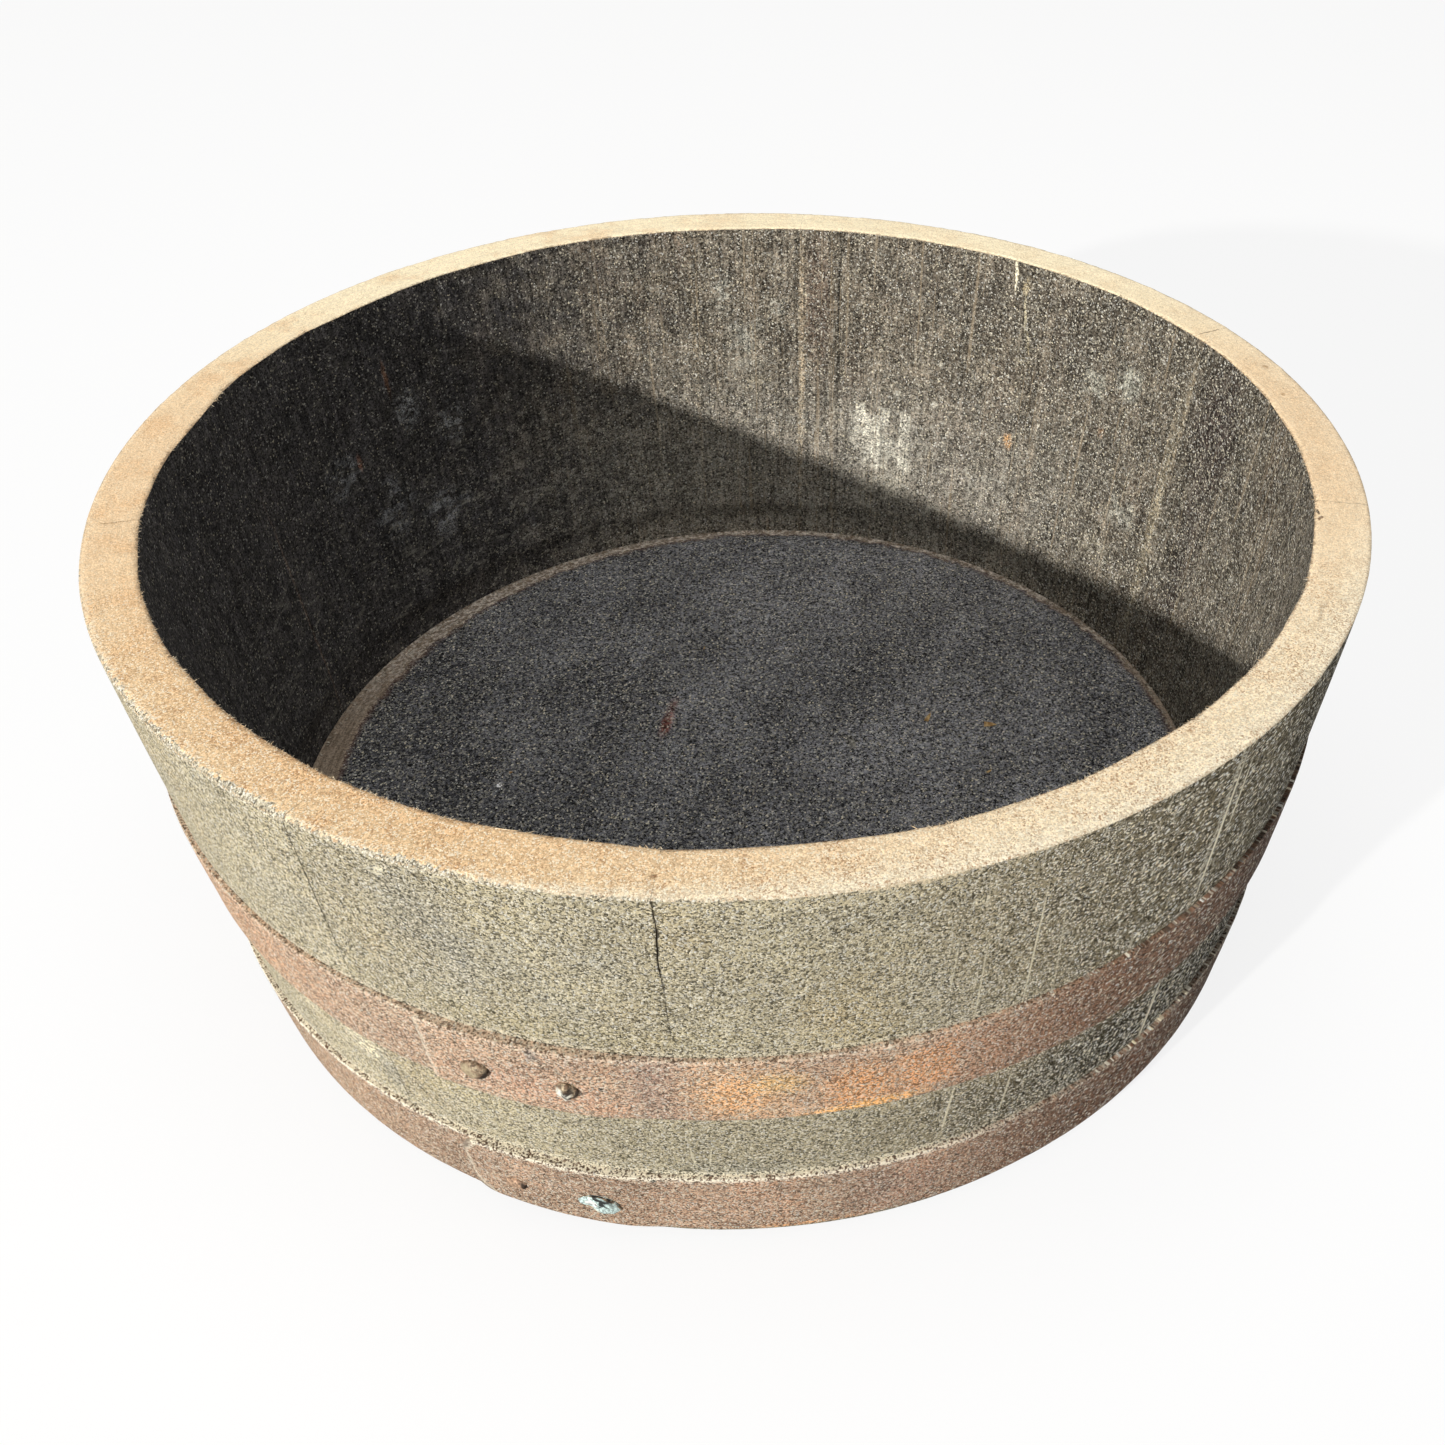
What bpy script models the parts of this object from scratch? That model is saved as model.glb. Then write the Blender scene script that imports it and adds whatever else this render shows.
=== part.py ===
"""Half barrel planter in oak, with steel hoops.

It is the lower end of a cask, sawn across below its widest point. It stands on its chime, and the
cask's head is its floor. Metres, +Z up. The origin is the centre of the ring that it stands on, and
-Y is the front. Angles round the tub are counted from the front, counter-clockwise seen from above.
"""

import math
from collections import namedtuple

import bmesh
import bpy
from mathutils import Matrix, Vector

# Clear space kept between pieces that touch, and how far a cutter runs past what it cuts
FIT_GAP = 0.0003
CUT_OVERRUN = 0.004
MERGE_DISTANCE = 0.00001  # points nearer than this are one point

# Tub: the outside of the staves, from the chime that it stands on to the sawn rim
TUB_HEIGHT = 0.2595
RIM_RADIUS = 0.320
BASE_RADIUS = 0.2848
STAVE_BOW = 0.0016  # how far a stave's outside swells past a straight line from chime to rim
STAVE_THICKNESS = 0.0255

# Staves: shares of the rim's circumference that their widths take, and of the stave thickness
FIRST_JOINT_ANGLE = math.radians(-34.1)
STAVE_WIDTH_SHARES = (
    57.5, 94, 118, 66.5, 68, 63, 72.5, 78.5, 58, 56,
    52, 30.5, 81.5, 52.5, 47.5, 68, 52.5, 30.5, 101, 36.5,
    63, 71, 106, 84.5, 72, 70.5, 66.5, 64, 64, 64,
)  # fmt: skip
STAVE_THICKNESS_SHARES = (
    1.06, 1.06, 1.00, 1.02, 1.03, 1.02, 1.02, 1.05, 1.03, 1.01,
    0.97, 0.95, 0.96, 0.99, 1.00, 0.99, 1.00, 1.02, 1.03, 1.03,
    0.98, 1.03, 1.03, 0.97, 1.05, 0.99, 0.98, 0.99, 1.04, 1.05,
)  # fmt: skip
INNER_FLAT_SHARE = 0.4  # 0 hollows a stave's inside to a true circle, 1 leaves it flat from joint to joint
JOINT_EDGE = 0.0006  # worn corner along a joint
RIM_EDGE = 0.0008  # corner of the sawn rim
CHIME_EDGE = 0.0020  # worn outer corner of the chime
CHIME_FLAT = 0.0110  # width of the flat end that the tub stands on
CHIME_BEVEL_HEIGHT = 0.0140  # height of the bevel inside the chime
STAVE_STEP_ANGLE = math.radians(4.0)  # widest facet round the tub
STAVE_ROWS = 5  # facets up a stave

# Head: the tub's floor, with a thinned edge that sits in the croze
CHIME_DEPTH = 0.0165  # from the ground up to the head's underside
HEAD_THICKNESS = 0.0220
HEAD_EDGE_THICKNESS = 0.0060
HEAD_EDGE_DROP = 0.0040  # from the upper face down to the thinned edge
HEAD_TOP_BEVEL = 0.0150  # width of the upper bevel
HEAD_UNDER_BEVEL = 0.0300  # width of the lower bevel
HEAD_SHOULDER = 0.0006  # from the end of a bevel to the wall
HEAD_GRAIN_ANGLE = math.radians(-15.0)  # the boards' length, turned from the front-to-back line
HEAD_BOARD_WIDTH_SHARES = (0.90, 1.05, 1.10, 0.92, 1.08, 0.95)
HEAD_STEPS = 72

# Croze and howel: the groove for the head's edge, and the round-cut band above it
CROZE_DEPTH = 0.0050
HOWEL_DEPTH = 0.0012
HOWEL_BAND = 0.0112  # height of the howel's straight band, above the croze
HOWEL_FADE = 0.0140  # height over which the howel runs out into the wall

# Dowels between head boards
DOWEL_RADIUS = 0.0040
DOWEL_LENGTH = 0.0400
DOWEL_END_BEVEL = 0.0008
DOWEL_SIDES = 12
DOWEL_PLACE_SHARE = 0.5  # of the way from the middle of a joint to its end

# Hoops: flared strips, riveted where the outer end laps over the inner end
HOOP_THICKNESS = 0.0018
HOOP_LAP = 0.1000  # length of the overlap
HOOP_LAP_RAMP = 0.0180  # length over which the strip climbs onto its inner end
HOOP_STEPS = 108
HOOP_ROWS = 2
CORNER_STEPS = 3
HEAD_HOOP_BOTTOM = 0.0073
HEAD_HOOP_WIDTH = 0.0493
HEAD_HOOP_CORNER = 0.0120  # rounding of the strip's end corners
HEAD_HOOP_END_ANGLE = math.radians(-28.4)  # the outer end, at the front left
QUARTER_HOOP_WIDTH = 0.0464
QUARTER_HOOP_CORNER = 0.0030
QUARTER_HOOP_END_ANGLE = math.radians(-27.9)
HOOP_SPACING = 0.0527  # bare wood between the head hoop and the quarter hoop

# Rivets
RIVET_HEAD_RADIUS = 0.0058
RIVET_HEAD_HEIGHT = 0.0026
RIVET_SHANK_RADIUS = 0.0030
RIVET_TAIL_RADIUS = 0.0040
RIVET_TAIL_HEIGHT = 0.0012
RIVET_END_DISTANCE = 0.0250  # from the hoop's outer end to its first rivet
RIVET_SPACING = 0.0410
RIVET_SIDES = 16
RIVET_DOME_STEPS = 4
QUARTER_RIVET_HEIGHT_SHARE = 0.46  # of the hoop's width, from its lower edge
HEAD_RIVET_HEIGHT_SHARE = 0.44
QUARTER_RIVET_SIZE_SHARES = (1.0, 0.9)
HEAD_RIVET_SIZE_SHARES = (0.8, 1.25)

SMOOTH_ANGLE = math.radians(35.0)

# Colour, roughness and metallic value of each finish
FINISHES = {
    "weathered_oak": ((0.36, 0.31, 0.22, 1.0), 0.85, 0.0),
    "charred_oak": ((0.045, 0.045, 0.047, 1.0), 0.80, 0.0),
    "clean_oak": ((0.55, 0.40, 0.25, 1.0), 0.75, 0.0),
    "rusty_steel": ((0.36, 0.19, 0.12, 1.0), 0.75, 0.3),
    "worn_steel": ((0.42, 0.34, 0.28, 1.0), 0.50, 0.7),
}

# Sizes that follow from the ones above
WALL_TILT = math.atan2(RIM_RADIUS - BASE_RADIUS, TUB_HEIGHT)
HEAD_UNDER = CHIME_DEPTH
HEAD_TOP = HEAD_UNDER + HEAD_THICKNESS
HEAD_EDGE_TOP = HEAD_TOP - HEAD_EDGE_DROP
HEAD_EDGE_UNDER = HEAD_EDGE_TOP - HEAD_EDGE_THICKNESS
CROZE_TOP = HEAD_EDGE_TOP + FIT_GAP
CROZE_BOTTOM = HEAD_EDGE_UNDER - FIT_GAP
HOWEL_FLAT_TOP = CROZE_TOP + HOWEL_BAND
HOWEL_TOP = HOWEL_FLAT_TOP + HOWEL_FADE
QUARTER_HOOP_BOTTOM = HEAD_HOOP_BOTTOM + HEAD_HOOP_WIDTH + HOOP_SPACING
RIVET_GRIP = 2 * (HOOP_THICKNESS + FIT_GAP)  # from under a rivet's head to the hoop's inside

Hoop = namedtuple("Hoop", "bottom width corner end_angle rivet_height_share rivet_size_shares")

HOOPS = {
    "quarter_hoop": Hoop(
        QUARTER_HOOP_BOTTOM,
        QUARTER_HOOP_WIDTH,
        QUARTER_HOOP_CORNER,
        QUARTER_HOOP_END_ANGLE,
        QUARTER_RIVET_HEIGHT_SHARE,
        QUARTER_RIVET_SIZE_SHARES,
    ),
    "head_hoop": Hoop(
        HEAD_HOOP_BOTTOM,
        HEAD_HOOP_WIDTH,
        HEAD_HOOP_CORNER,
        HEAD_HOOP_END_ANGLE,
        HEAD_RIVET_HEIGHT_SHARE,
        HEAD_RIVET_SIZE_SHARES,
    ),
}


def outer_radius(height):
    """Radius of the staves' outside."""
    share = height / TUB_HEIGHT
    straight = BASE_RADIUS + (RIM_RADIUS - BASE_RADIUS) * share
    return straight + 4 * STAVE_BOW * share * (1 - share)


def howel_radius(height):
    """Radius of the round-cut band inside the staves, which is the same on every stave."""
    return outer_radius(height) - STAVE_THICKNESS + HOWEL_DEPTH


CROZE_RADIUS = howel_radius(CROZE_BOTTOM) + CROZE_DEPTH
HEAD_RADIUS = CROZE_RADIUS - FIT_GAP


def clear_scene():
    for obj in list(bpy.data.objects):
        bpy.data.objects.remove(obj, do_unlink=True)


def new_collection(name):
    collection = bpy.data.collections.new(name)
    bpy.context.scene.collection.children.link(collection)
    return collection


def new_material(name, colour, roughness, metallic):
    material = bpy.data.materials.new(name)
    material.use_nodes = True
    shader = material.node_tree.nodes["Principled BSDF"]
    shader.inputs["Base Color"].default_value = colour
    shader.inputs["Roughness"].default_value = roughness
    shader.inputs["Metallic"].default_value = metallic
    material.diffuse_color = colour
    return material


def object_from_bmesh(name, bm, collection, material):
    """Turns a bmesh into a smooth-shaded object of that name."""
    mesh = bpy.data.meshes.new(name)
    bmesh.ops.recalc_face_normals(bm, faces=bm.faces)
    bm.to_mesh(mesh)
    bm.free()
    mesh.shade_smooth()
    mesh.set_sharp_from_angle(angle=SMOOTH_ANGLE)
    obj = bpy.data.objects.new(name, mesh)
    if material:
        mesh.materials.append(material)
    collection.objects.link(obj)
    return obj


def make_cutter(obj):
    obj.hide_render = True
    obj.display_type = "WIRE"


def add_boolean_cut(obj, cutter):
    cut = obj.modifiers.new(cutter.name, "BOOLEAN")
    cut.operation = "DIFFERENCE"
    cut.solver = "EXACT"
    cut.object = cutter


def around(angle, radius, height):
    """The point at an angle from the front, counter-clockwise seen from above."""
    return Vector((radius * math.sin(angle), -radius * math.cos(angle), height))


def angle_of(point):
    return math.atan2(point.x, -point.y)


# Staves


def stave_outside():
    """Points (radius, height) up a stave's outside, from the flat chime end to the flat rim."""
    span = TUB_HEIGHT - RIM_EDGE - CHIME_EDGE
    rows = [CHIME_EDGE + span * row / STAVE_ROWS for row in range(STAVE_ROWS + 1)]
    points = [(outer_radius(0) - CHIME_EDGE, 0)]
    points += [(outer_radius(height), height) for height in rows]
    points += [(outer_radius(TUB_HEIGHT) - RIM_EDGE, TUB_HEIGHT)]
    return points


def stave_inside(thickness):
    """Points (radius, height) down a stave's inside: rim, wall, howel, croze and the chime's bevel."""
    rim = TUB_HEIGHT - RIM_EDGE
    rows = [rim + (HOWEL_TOP - rim) * row / STAVE_ROWS for row in range(STAVE_ROWS + 1)]
    points = [(outer_radius(TUB_HEIGHT) - thickness + RIM_EDGE, TUB_HEIGHT)]
    points += [(outer_radius(height) - thickness, height) for height in rows]
    points += [(howel_radius(height), height) for height in (HOWEL_FLAT_TOP, CROZE_TOP)]
    points += [(CROZE_RADIUS, CROZE_TOP), (CROZE_RADIUS, CROZE_BOTTOM)]
    points += [(howel_radius(height), height) for height in (CROZE_BOTTOM, CHIME_BEVEL_HEIGHT)]
    points += [(outer_radius(0) - CHIME_EDGE - CHIME_FLAT, 0)]
    return points


def flatten_inside(bm, start, end):
    """Draws the inside of the wall in towards the flat chord between a stave's two joints."""
    middle = (start + end) / 2
    half = (end - start) / 2
    for vert in bm.verts:
        radius = math.hypot(vert.co.x, vert.co.y)
        depth = outer_radius(vert.co.z) - radius
        if vert.co.z < HOWEL_TOP + FIT_GAP or depth < STAVE_THICKNESS / 2:
            continue
        turn = math.remainder(angle_of(vert.co) - middle, math.tau)
        chord_radius = radius * math.cos(half) / math.cos(turn)
        scale = 1 + INNER_FLAT_SHARE * (chord_radius / radius - 1)
        vert.co.x *= scale
        vert.co.y *= scale


def mark_joint_edges(bm, start, end):
    """Gives a bevel weight to the long edges along a stave's two joints, above the howel and outside."""
    weight = bm.edges.layers.float.new("bevel_weight_edge")
    for edge in bm.edges:
        at_joint = []
        on_face = []
        for vert in edge.verts:
            angle = angle_of(vert.co)
            turn = min(abs(math.remainder(angle - side, math.tau)) for side in (start, end))
            at_joint.append(turn * outer_radius(vert.co.z) < FIT_GAP)
            depth = outer_radius(vert.co.z) - math.hypot(vert.co.x, vert.co.y)
            below_rim = vert.co.z < TUB_HEIGHT - FIT_GAP
            on_wall = vert.co.z > HOWEL_TOP - FIT_GAP and depth > STAVE_THICKNESS / 2
            on_outside = vert.co.z > CHIME_EDGE - FIT_GAP and depth < FIT_GAP
            on_face.append((below_rim and on_wall, below_rim and on_outside))
        same_face = any(all(face[side] for face in on_face) for side in range(2))
        if all(at_joint) and same_face:
            edge[weight] = 1.0


def make_stave(name, start, end, thickness, collection, material):
    """A stave: its upright section swept round the tub from one joint to the other."""
    bm = bmesh.new()
    section = stave_outside() + stave_inside(thickness)
    bm.faces.new([bm.verts.new(around(start, radius, height)) for radius, height in section])
    steps = math.ceil((end - start) / STAVE_STEP_ANGLE)
    bmesh.ops.spin(
        bm,
        geom=bm.verts[:] + bm.edges[:] + bm.faces[:],
        cent=(0, 0, 0),
        axis=(0, 0, 1),
        angle=end - start,
        steps=steps,
        use_duplicate=False,
    )
    flatten_inside(bm, start, end)
    mark_joint_edges(bm, start, end)
    stave = object_from_bmesh(name, bm, collection, material)
    bevel = stave.modifiers.new("joint_edges", "BEVEL")
    bevel.limit_method = "WEIGHT"
    bevel.width = JOINT_EDGE
    bevel.segments = 1
    return stave


def make_staves(collection, material):
    """All the staves round the tub, with a narrow gap at each joint."""
    gap_angle = FIT_GAP / BASE_RADIUS
    whole = sum(STAVE_WIDTH_SHARES)
    angle = FIRST_JOINT_ANGLE
    staves = zip(STAVE_WIDTH_SHARES, STAVE_THICKNESS_SHARES)
    for index, (width_share, thickness_share) in enumerate(staves):
        width = math.tau * width_share / whole
        make_stave(
            f"stave_{index + 1:02d}",
            angle + gap_angle / 2,
            angle + width - gap_angle / 2,
            STAVE_THICKNESS * thickness_share,
            collection,
            material,
        )
        angle += width


# Head


def head_outline():
    """Points (radius, height) of the head, from the middle of its upper face round to its underside."""
    shoulder = HEAD_RADIUS - CROZE_DEPTH - HEAD_SHOULDER
    return [
        (0, HEAD_TOP),
        (shoulder - HEAD_TOP_BEVEL, HEAD_TOP),
        (shoulder, HEAD_EDGE_TOP),
        (HEAD_RADIUS, HEAD_EDGE_TOP),
        (HEAD_RADIUS, HEAD_EDGE_UNDER),
        (shoulder, HEAD_EDGE_UNDER),
        (shoulder - HEAD_UNDER_BEVEL, HEAD_UNDER),
        (0, HEAD_UNDER),
    ]


def head_disc():
    """The whole head as one turned bmesh, from which each board is cut."""
    bm = bmesh.new()
    verts = [bm.verts.new((radius, 0, height)) for radius, height in head_outline()]
    for low, high in zip(verts, verts[1:]):
        bm.edges.new((low, high))
    bmesh.ops.spin(
        bm,
        geom=bm.verts[:] + bm.edges[:],
        cent=(0, 0, 0),
        axis=(0, 0, 1),
        angle=math.tau,
        steps=HEAD_STEPS,
        use_merge=True,
        use_duplicate=False,
    )
    bmesh.ops.remove_doubles(bm, verts=bm.verts, dist=MERGE_DISTANCE)
    bmesh.ops.recalc_face_normals(bm, faces=bm.faces)
    return bm


def keep_side(bm, place, direction):
    """Cuts a bmesh at x = place, keeps the part towards the direction, and closes the cut."""
    cut = bmesh.ops.bisect_plane(
        bm,
        geom=bm.verts[:] + bm.edges[:] + bm.faces[:],
        plane_co=(place, 0, 0),
        plane_no=(direction, 0, 0),
        clear_inner=True,
    )
    edges = [item for item in cut["geom_cut"] if isinstance(item, bmesh.types.BMEdge)]
    bmesh.ops.edgeloop_fill(bm, edges=edges)


def head_joints():
    """Places of the boards' edges across the grain, from one side of the head to the other."""
    whole = sum(HEAD_BOARD_WIDTH_SHARES)
    places = [-HEAD_RADIUS]
    for share in HEAD_BOARD_WIDTH_SHARES:
        places.append(places[-1] + 2 * HEAD_RADIUS * share / whole)
    return places


def make_head_board(number, joints, grain, collection, material):
    """A head board, between its two joints. The outer boards have one joint and the head's round edge."""
    bm = head_disc()
    if number > 0:
        keep_side(bm, joints[number] + FIT_GAP / 2, 1)
    if number < len(joints) - 2:
        keep_side(bm, joints[number + 1] - FIT_GAP / 2, -1)
    board = object_from_bmesh(f"head_board_{number + 1}", bm, collection, material)
    board.parent = grain
    return board


def make_cylinder_along_x(name, radius, length, centre, collection, material):
    """A round bar along X, placed by its middle."""
    bm = bmesh.new()
    bmesh.ops.create_cone(
        bm,
        cap_ends=True,
        segments=DOWEL_SIDES,
        radius1=radius,
        radius2=radius,
        depth=length,
        matrix=Matrix.Rotation(math.radians(90), 4, "Y"),
    )
    obj = object_from_bmesh(name, bm, collection, material)
    obj.location = centre
    return obj


def make_head(collection, cutters, board_material, dowel_material):
    """The head's boards and the dowels in the joints between them."""
    grain = bpy.data.objects.new("head_grain", None)
    grain.rotation_euler.z = HEAD_GRAIN_ANGLE
    collection.objects.link(grain)
    joints = head_joints()
    boards = [
        make_head_board(number, joints, grain, collection, board_material)
        for number in range(len(joints) - 1)
    ]
    dowel_height = (HEAD_TOP + HEAD_UNDER) / 2
    for number, place in enumerate(joints[1:-1]):
        half_chord = math.sqrt(HEAD_RADIUS**2 - place**2)
        for letter, side in (("a", -1), ("b", 1)):
            centre = (place, side * DOWEL_PLACE_SHARE * half_chord, dowel_height)
            name = f"head_dowel_{number + 1}{letter}"
            dowel = make_cylinder_along_x(
                name, DOWEL_RADIUS, DOWEL_LENGTH, centre, collection, dowel_material
            )
            dowel.parent = grain
            bevel = dowel.modifiers.new("end_bevel", "BEVEL")
            bevel.width = DOWEL_END_BEVEL
            bevel.segments = 1
            bevel.angle_limit = math.radians(60)
            hole = make_cylinder_along_x(
                f"{name}_hole",
                DOWEL_RADIUS + FIT_GAP,
                DOWEL_LENGTH + 2 * FIT_GAP,
                centre,
                cutters,
                None,
            )
            hole.parent = grain
            make_cutter(hole)
            for board in boards[number : number + 2]:
                add_boolean_cut(board, hole)


# Hoops


def hoop_radius(hoop):
    """Radius of a hoop's inside at the middle of its width."""
    return outer_radius(hoop.bottom + hoop.width / 2) + FIT_GAP


def bend_strip(bm, hoop, length):
    """Bends a flat strip, with its length along X from 0 and its width up Y, round the tub.

    X = 0 is the inner end. The strip runs clockwise from there, once round, and climbs onto its own
    inner end.
    """
    round_length = length - HOOP_LAP
    step_angle = length / hoop_radius(hoop) / HOOP_STEPS
    to_flat_side = 1 / math.cos(step_angle / 2)
    climb = (HOOP_THICKNESS + FIT_GAP) / math.cos(WALL_TILT)
    for vert in bm.verts:
        along, height = vert.co.x, hoop.bottom + vert.co.y
        angle = hoop.end_angle + (length - along) / hoop_radius(hoop)
        lift = min(max((along - round_length + HOOP_LAP_RAMP) / HOOP_LAP_RAMP, 0), 1)
        radius = (outer_radius(height) + FIT_GAP) * to_flat_side + climb * lift
        vert.co = around(angle, radius, height)


def make_hoop(name, hoop, collection, material):
    """A hoop: a strip with rounded end corners, bent round the staves with its ends lapped."""
    length = math.tau * hoop_radius(hoop) + HOOP_LAP
    bm = bmesh.new()
    strip = Matrix.Translation((length / 2, hoop.width / 2, 0)) @ Matrix.Diagonal((length, hoop.width, 1, 1))
    bmesh.ops.create_grid(bm, x_segments=HOOP_STEPS, y_segments=HOOP_ROWS, size=0.5, matrix=strip)
    corners = [vert for vert in bm.verts if len(vert.link_edges) == 2]
    bmesh.ops.bevel(
        bm, geom=corners, offset=hoop.corner, segments=CORNER_STEPS, profile=0.5, affect="VERTICES"
    )
    bend_strip(bm, hoop, length)
    strip = object_from_bmesh(name, bm, collection, material)
    outwards = sum(face.normal.dot(face.center) for face in strip.data.polygons) > 0
    solid = strip.modifiers.new("thickness", "SOLIDIFY")
    solid.thickness = HOOP_THICKNESS
    solid.offset = 1 if outwards else -1
    return strip


# Rivets


def rivet_outline(size_share):
    """Points (radius, height) of a rivet, from the top of its domed head down to its flared tail."""
    head_radius = RIVET_HEAD_RADIUS * size_share
    dome = [
        (
            head_radius * math.sin(math.pi / 2 * step / RIVET_DOME_STEPS),
            RIVET_HEAD_HEIGHT * math.cos(math.pi / 2 * step / RIVET_DOME_STEPS),
        )
        for step in range(RIVET_DOME_STEPS + 1)
    ]
    return dome + [
        (RIVET_SHANK_RADIUS, 0),
        (RIVET_SHANK_RADIUS, RIVET_TAIL_HEIGHT - RIVET_GRIP),
        (RIVET_TAIL_RADIUS, -RIVET_GRIP),
        (0, -RIVET_GRIP),
    ]


def rivet_hole_outline():
    """Points (radius, height) of the hole for a rivet, flared for its tail."""
    shank = RIVET_SHANK_RADIUS + FIT_GAP
    tail = RIVET_TAIL_RADIUS + FIT_GAP
    return [
        (0, CUT_OVERRUN),
        (shank, CUT_OVERRUN),
        (shank, RIVET_TAIL_HEIGHT - RIVET_GRIP),
        (tail, -RIVET_GRIP),
        (tail, -RIVET_GRIP - CUT_OVERRUN),
        (0, -RIVET_GRIP - CUT_OVERRUN),
    ]


def make_turned(name, outline, collection, material):
    """A turned piece about Z: an outline of (radius, height) points with a Screw modifier."""
    bm = bmesh.new()
    verts = [bm.verts.new((radius, 0, height)) for radius, height in outline]
    for high, low in zip(verts, verts[1:]):
        bm.edges.new((high, low))
    obj = object_from_bmesh(name, bm, collection, material)
    screw = obj.modifiers.new("turn", "SCREW")
    screw.steps = RIVET_SIDES
    screw.render_steps = RIVET_SIDES
    screw.use_merge_vertices = True
    screw.merge_threshold = MERGE_DISTANCE
    return obj


def place_on_wall(obj, angle, height, out):
    """Puts a turned piece on the wall, its axis square to the wall and its zero that far out of it."""
    outwards = around(angle, math.cos(WALL_TILT), -math.sin(WALL_TILT))
    obj.rotation_mode = "QUATERNION"
    obj.rotation_quaternion = outwards.to_track_quat("Z", "Y")
    obj.location = around(angle, outer_radius(height), height) + outwards * out


def make_riveted_hoop(name, hoop, collection, cutters, materials):
    """A hoop and the rivets through its lap."""
    strip = make_hoop(name, hoop, collection, materials["rusty_steel"])
    height = hoop.bottom + hoop.width * hoop.rivet_height_share
    head_seat = RIVET_GRIP + FIT_GAP
    for index, size_share in enumerate(hoop.rivet_size_shares):
        along = RIVET_END_DISTANCE + RIVET_SPACING * index
        angle = hoop.end_angle + along / hoop_radius(hoop)
        rivet_name = f"{name}_rivet_{index + 1}"
        outline = rivet_outline(size_share)
        rivet = make_turned(rivet_name, outline, collection, materials["worn_steel"])
        place_on_wall(rivet, angle, height, head_seat)
        hole = make_turned(f"{rivet_name}_hole", rivet_hole_outline(), cutters, None)
        place_on_wall(hole, angle, height, head_seat)
        make_cutter(hole)
        add_boolean_cut(strip, hole)


def main():
    clear_scene()
    parts = new_collection("half_barrel_planter")
    cutters = new_collection("cutters")
    materials = {name: new_material(name, *finish) for name, finish in FINISHES.items()}
    make_staves(parts, materials["weathered_oak"])
    make_head(parts, cutters, materials["charred_oak"], materials["clean_oak"])
    for name, hoop in HOOPS.items():
        make_riveted_hoop(name, hoop, parts, cutters, materials)


main()
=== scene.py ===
"""Looks of the half barrel planter: a tub cut from the end of a charred oak cask.

Every wooden and steel part gets a finer mesh with its wear, and a node material. Metres, +Z up, and
the front is -Y. Angles round the tub are counted from the front, counter-clockwise from above.
"""

import logging
import math
from abc import ABC, abstractmethod
from dataclasses import dataclass, field
from enum import Enum, IntEnum
from functools import lru_cache
from typing import NamedTuple

import bmesh
import bpy
import numpy as np
from mathutils import Matrix, Vector


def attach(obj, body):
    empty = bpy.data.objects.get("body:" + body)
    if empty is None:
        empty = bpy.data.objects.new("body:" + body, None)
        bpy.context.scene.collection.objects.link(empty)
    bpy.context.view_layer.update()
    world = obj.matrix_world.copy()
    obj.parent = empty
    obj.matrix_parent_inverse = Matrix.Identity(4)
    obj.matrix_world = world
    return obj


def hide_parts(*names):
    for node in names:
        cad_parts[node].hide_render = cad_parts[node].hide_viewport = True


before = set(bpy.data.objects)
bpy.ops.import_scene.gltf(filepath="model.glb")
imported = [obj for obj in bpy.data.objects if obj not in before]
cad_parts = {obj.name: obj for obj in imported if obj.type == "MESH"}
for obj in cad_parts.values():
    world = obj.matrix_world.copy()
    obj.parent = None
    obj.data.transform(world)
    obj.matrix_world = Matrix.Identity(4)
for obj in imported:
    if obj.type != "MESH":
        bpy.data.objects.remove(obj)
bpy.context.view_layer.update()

log = logging.getLogger("half_barrel_planter")

BODY = "root"
MM = 0.001
FINE_GRIT = 0.00078
COARSE_GRIT = 0.00098
GRAIN_ANGLE = -15.0
# Metres along the rim from the front: where the right side's painted shade fades out, and where the left's looks
# begin
RIGHT_SHADE_ENDS = (0.58, 0.40)
LEFT_BEGINS = (1.3, 1.5)

Colour = tuple[float, float, float]
Socket = bpy.types.NodeSocket
Number = "Value | float"


def seen(red: float, green: float, blue: float) -> Colour:
    """Turns a colour as seen, from 0 to 255, into the linear colour of a shader."""
    parts = [value / 255 for value in (red, green, blue)]
    return tuple(part / 12.92 if part <= 0.04045 else ((part + 0.055) / 1.055) ** 2.4 for part in parts)


def smooth_step(low: float, high: float, value: np.ndarray) -> np.ndarray:
    """Eases values from 0 at low to 1 at high."""
    share = np.clip((value - low) / (high - low), 0, 1)
    return share * share * (3 - 2 * share)


def vectors(*parts: np.ndarray) -> np.ndarray:
    """Joins the parts of points or facts, with one part for each place in the last axis."""
    return np.stack(parts, axis=-1)


# Shapes that the parts share


class Zone(IntEnum):
    """Kinds of surface on a wooden part, in the order of its material slots."""

    OUTSIDE = 0
    SAWN = 1
    CHARRED = 2
    CUT = 3


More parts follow.
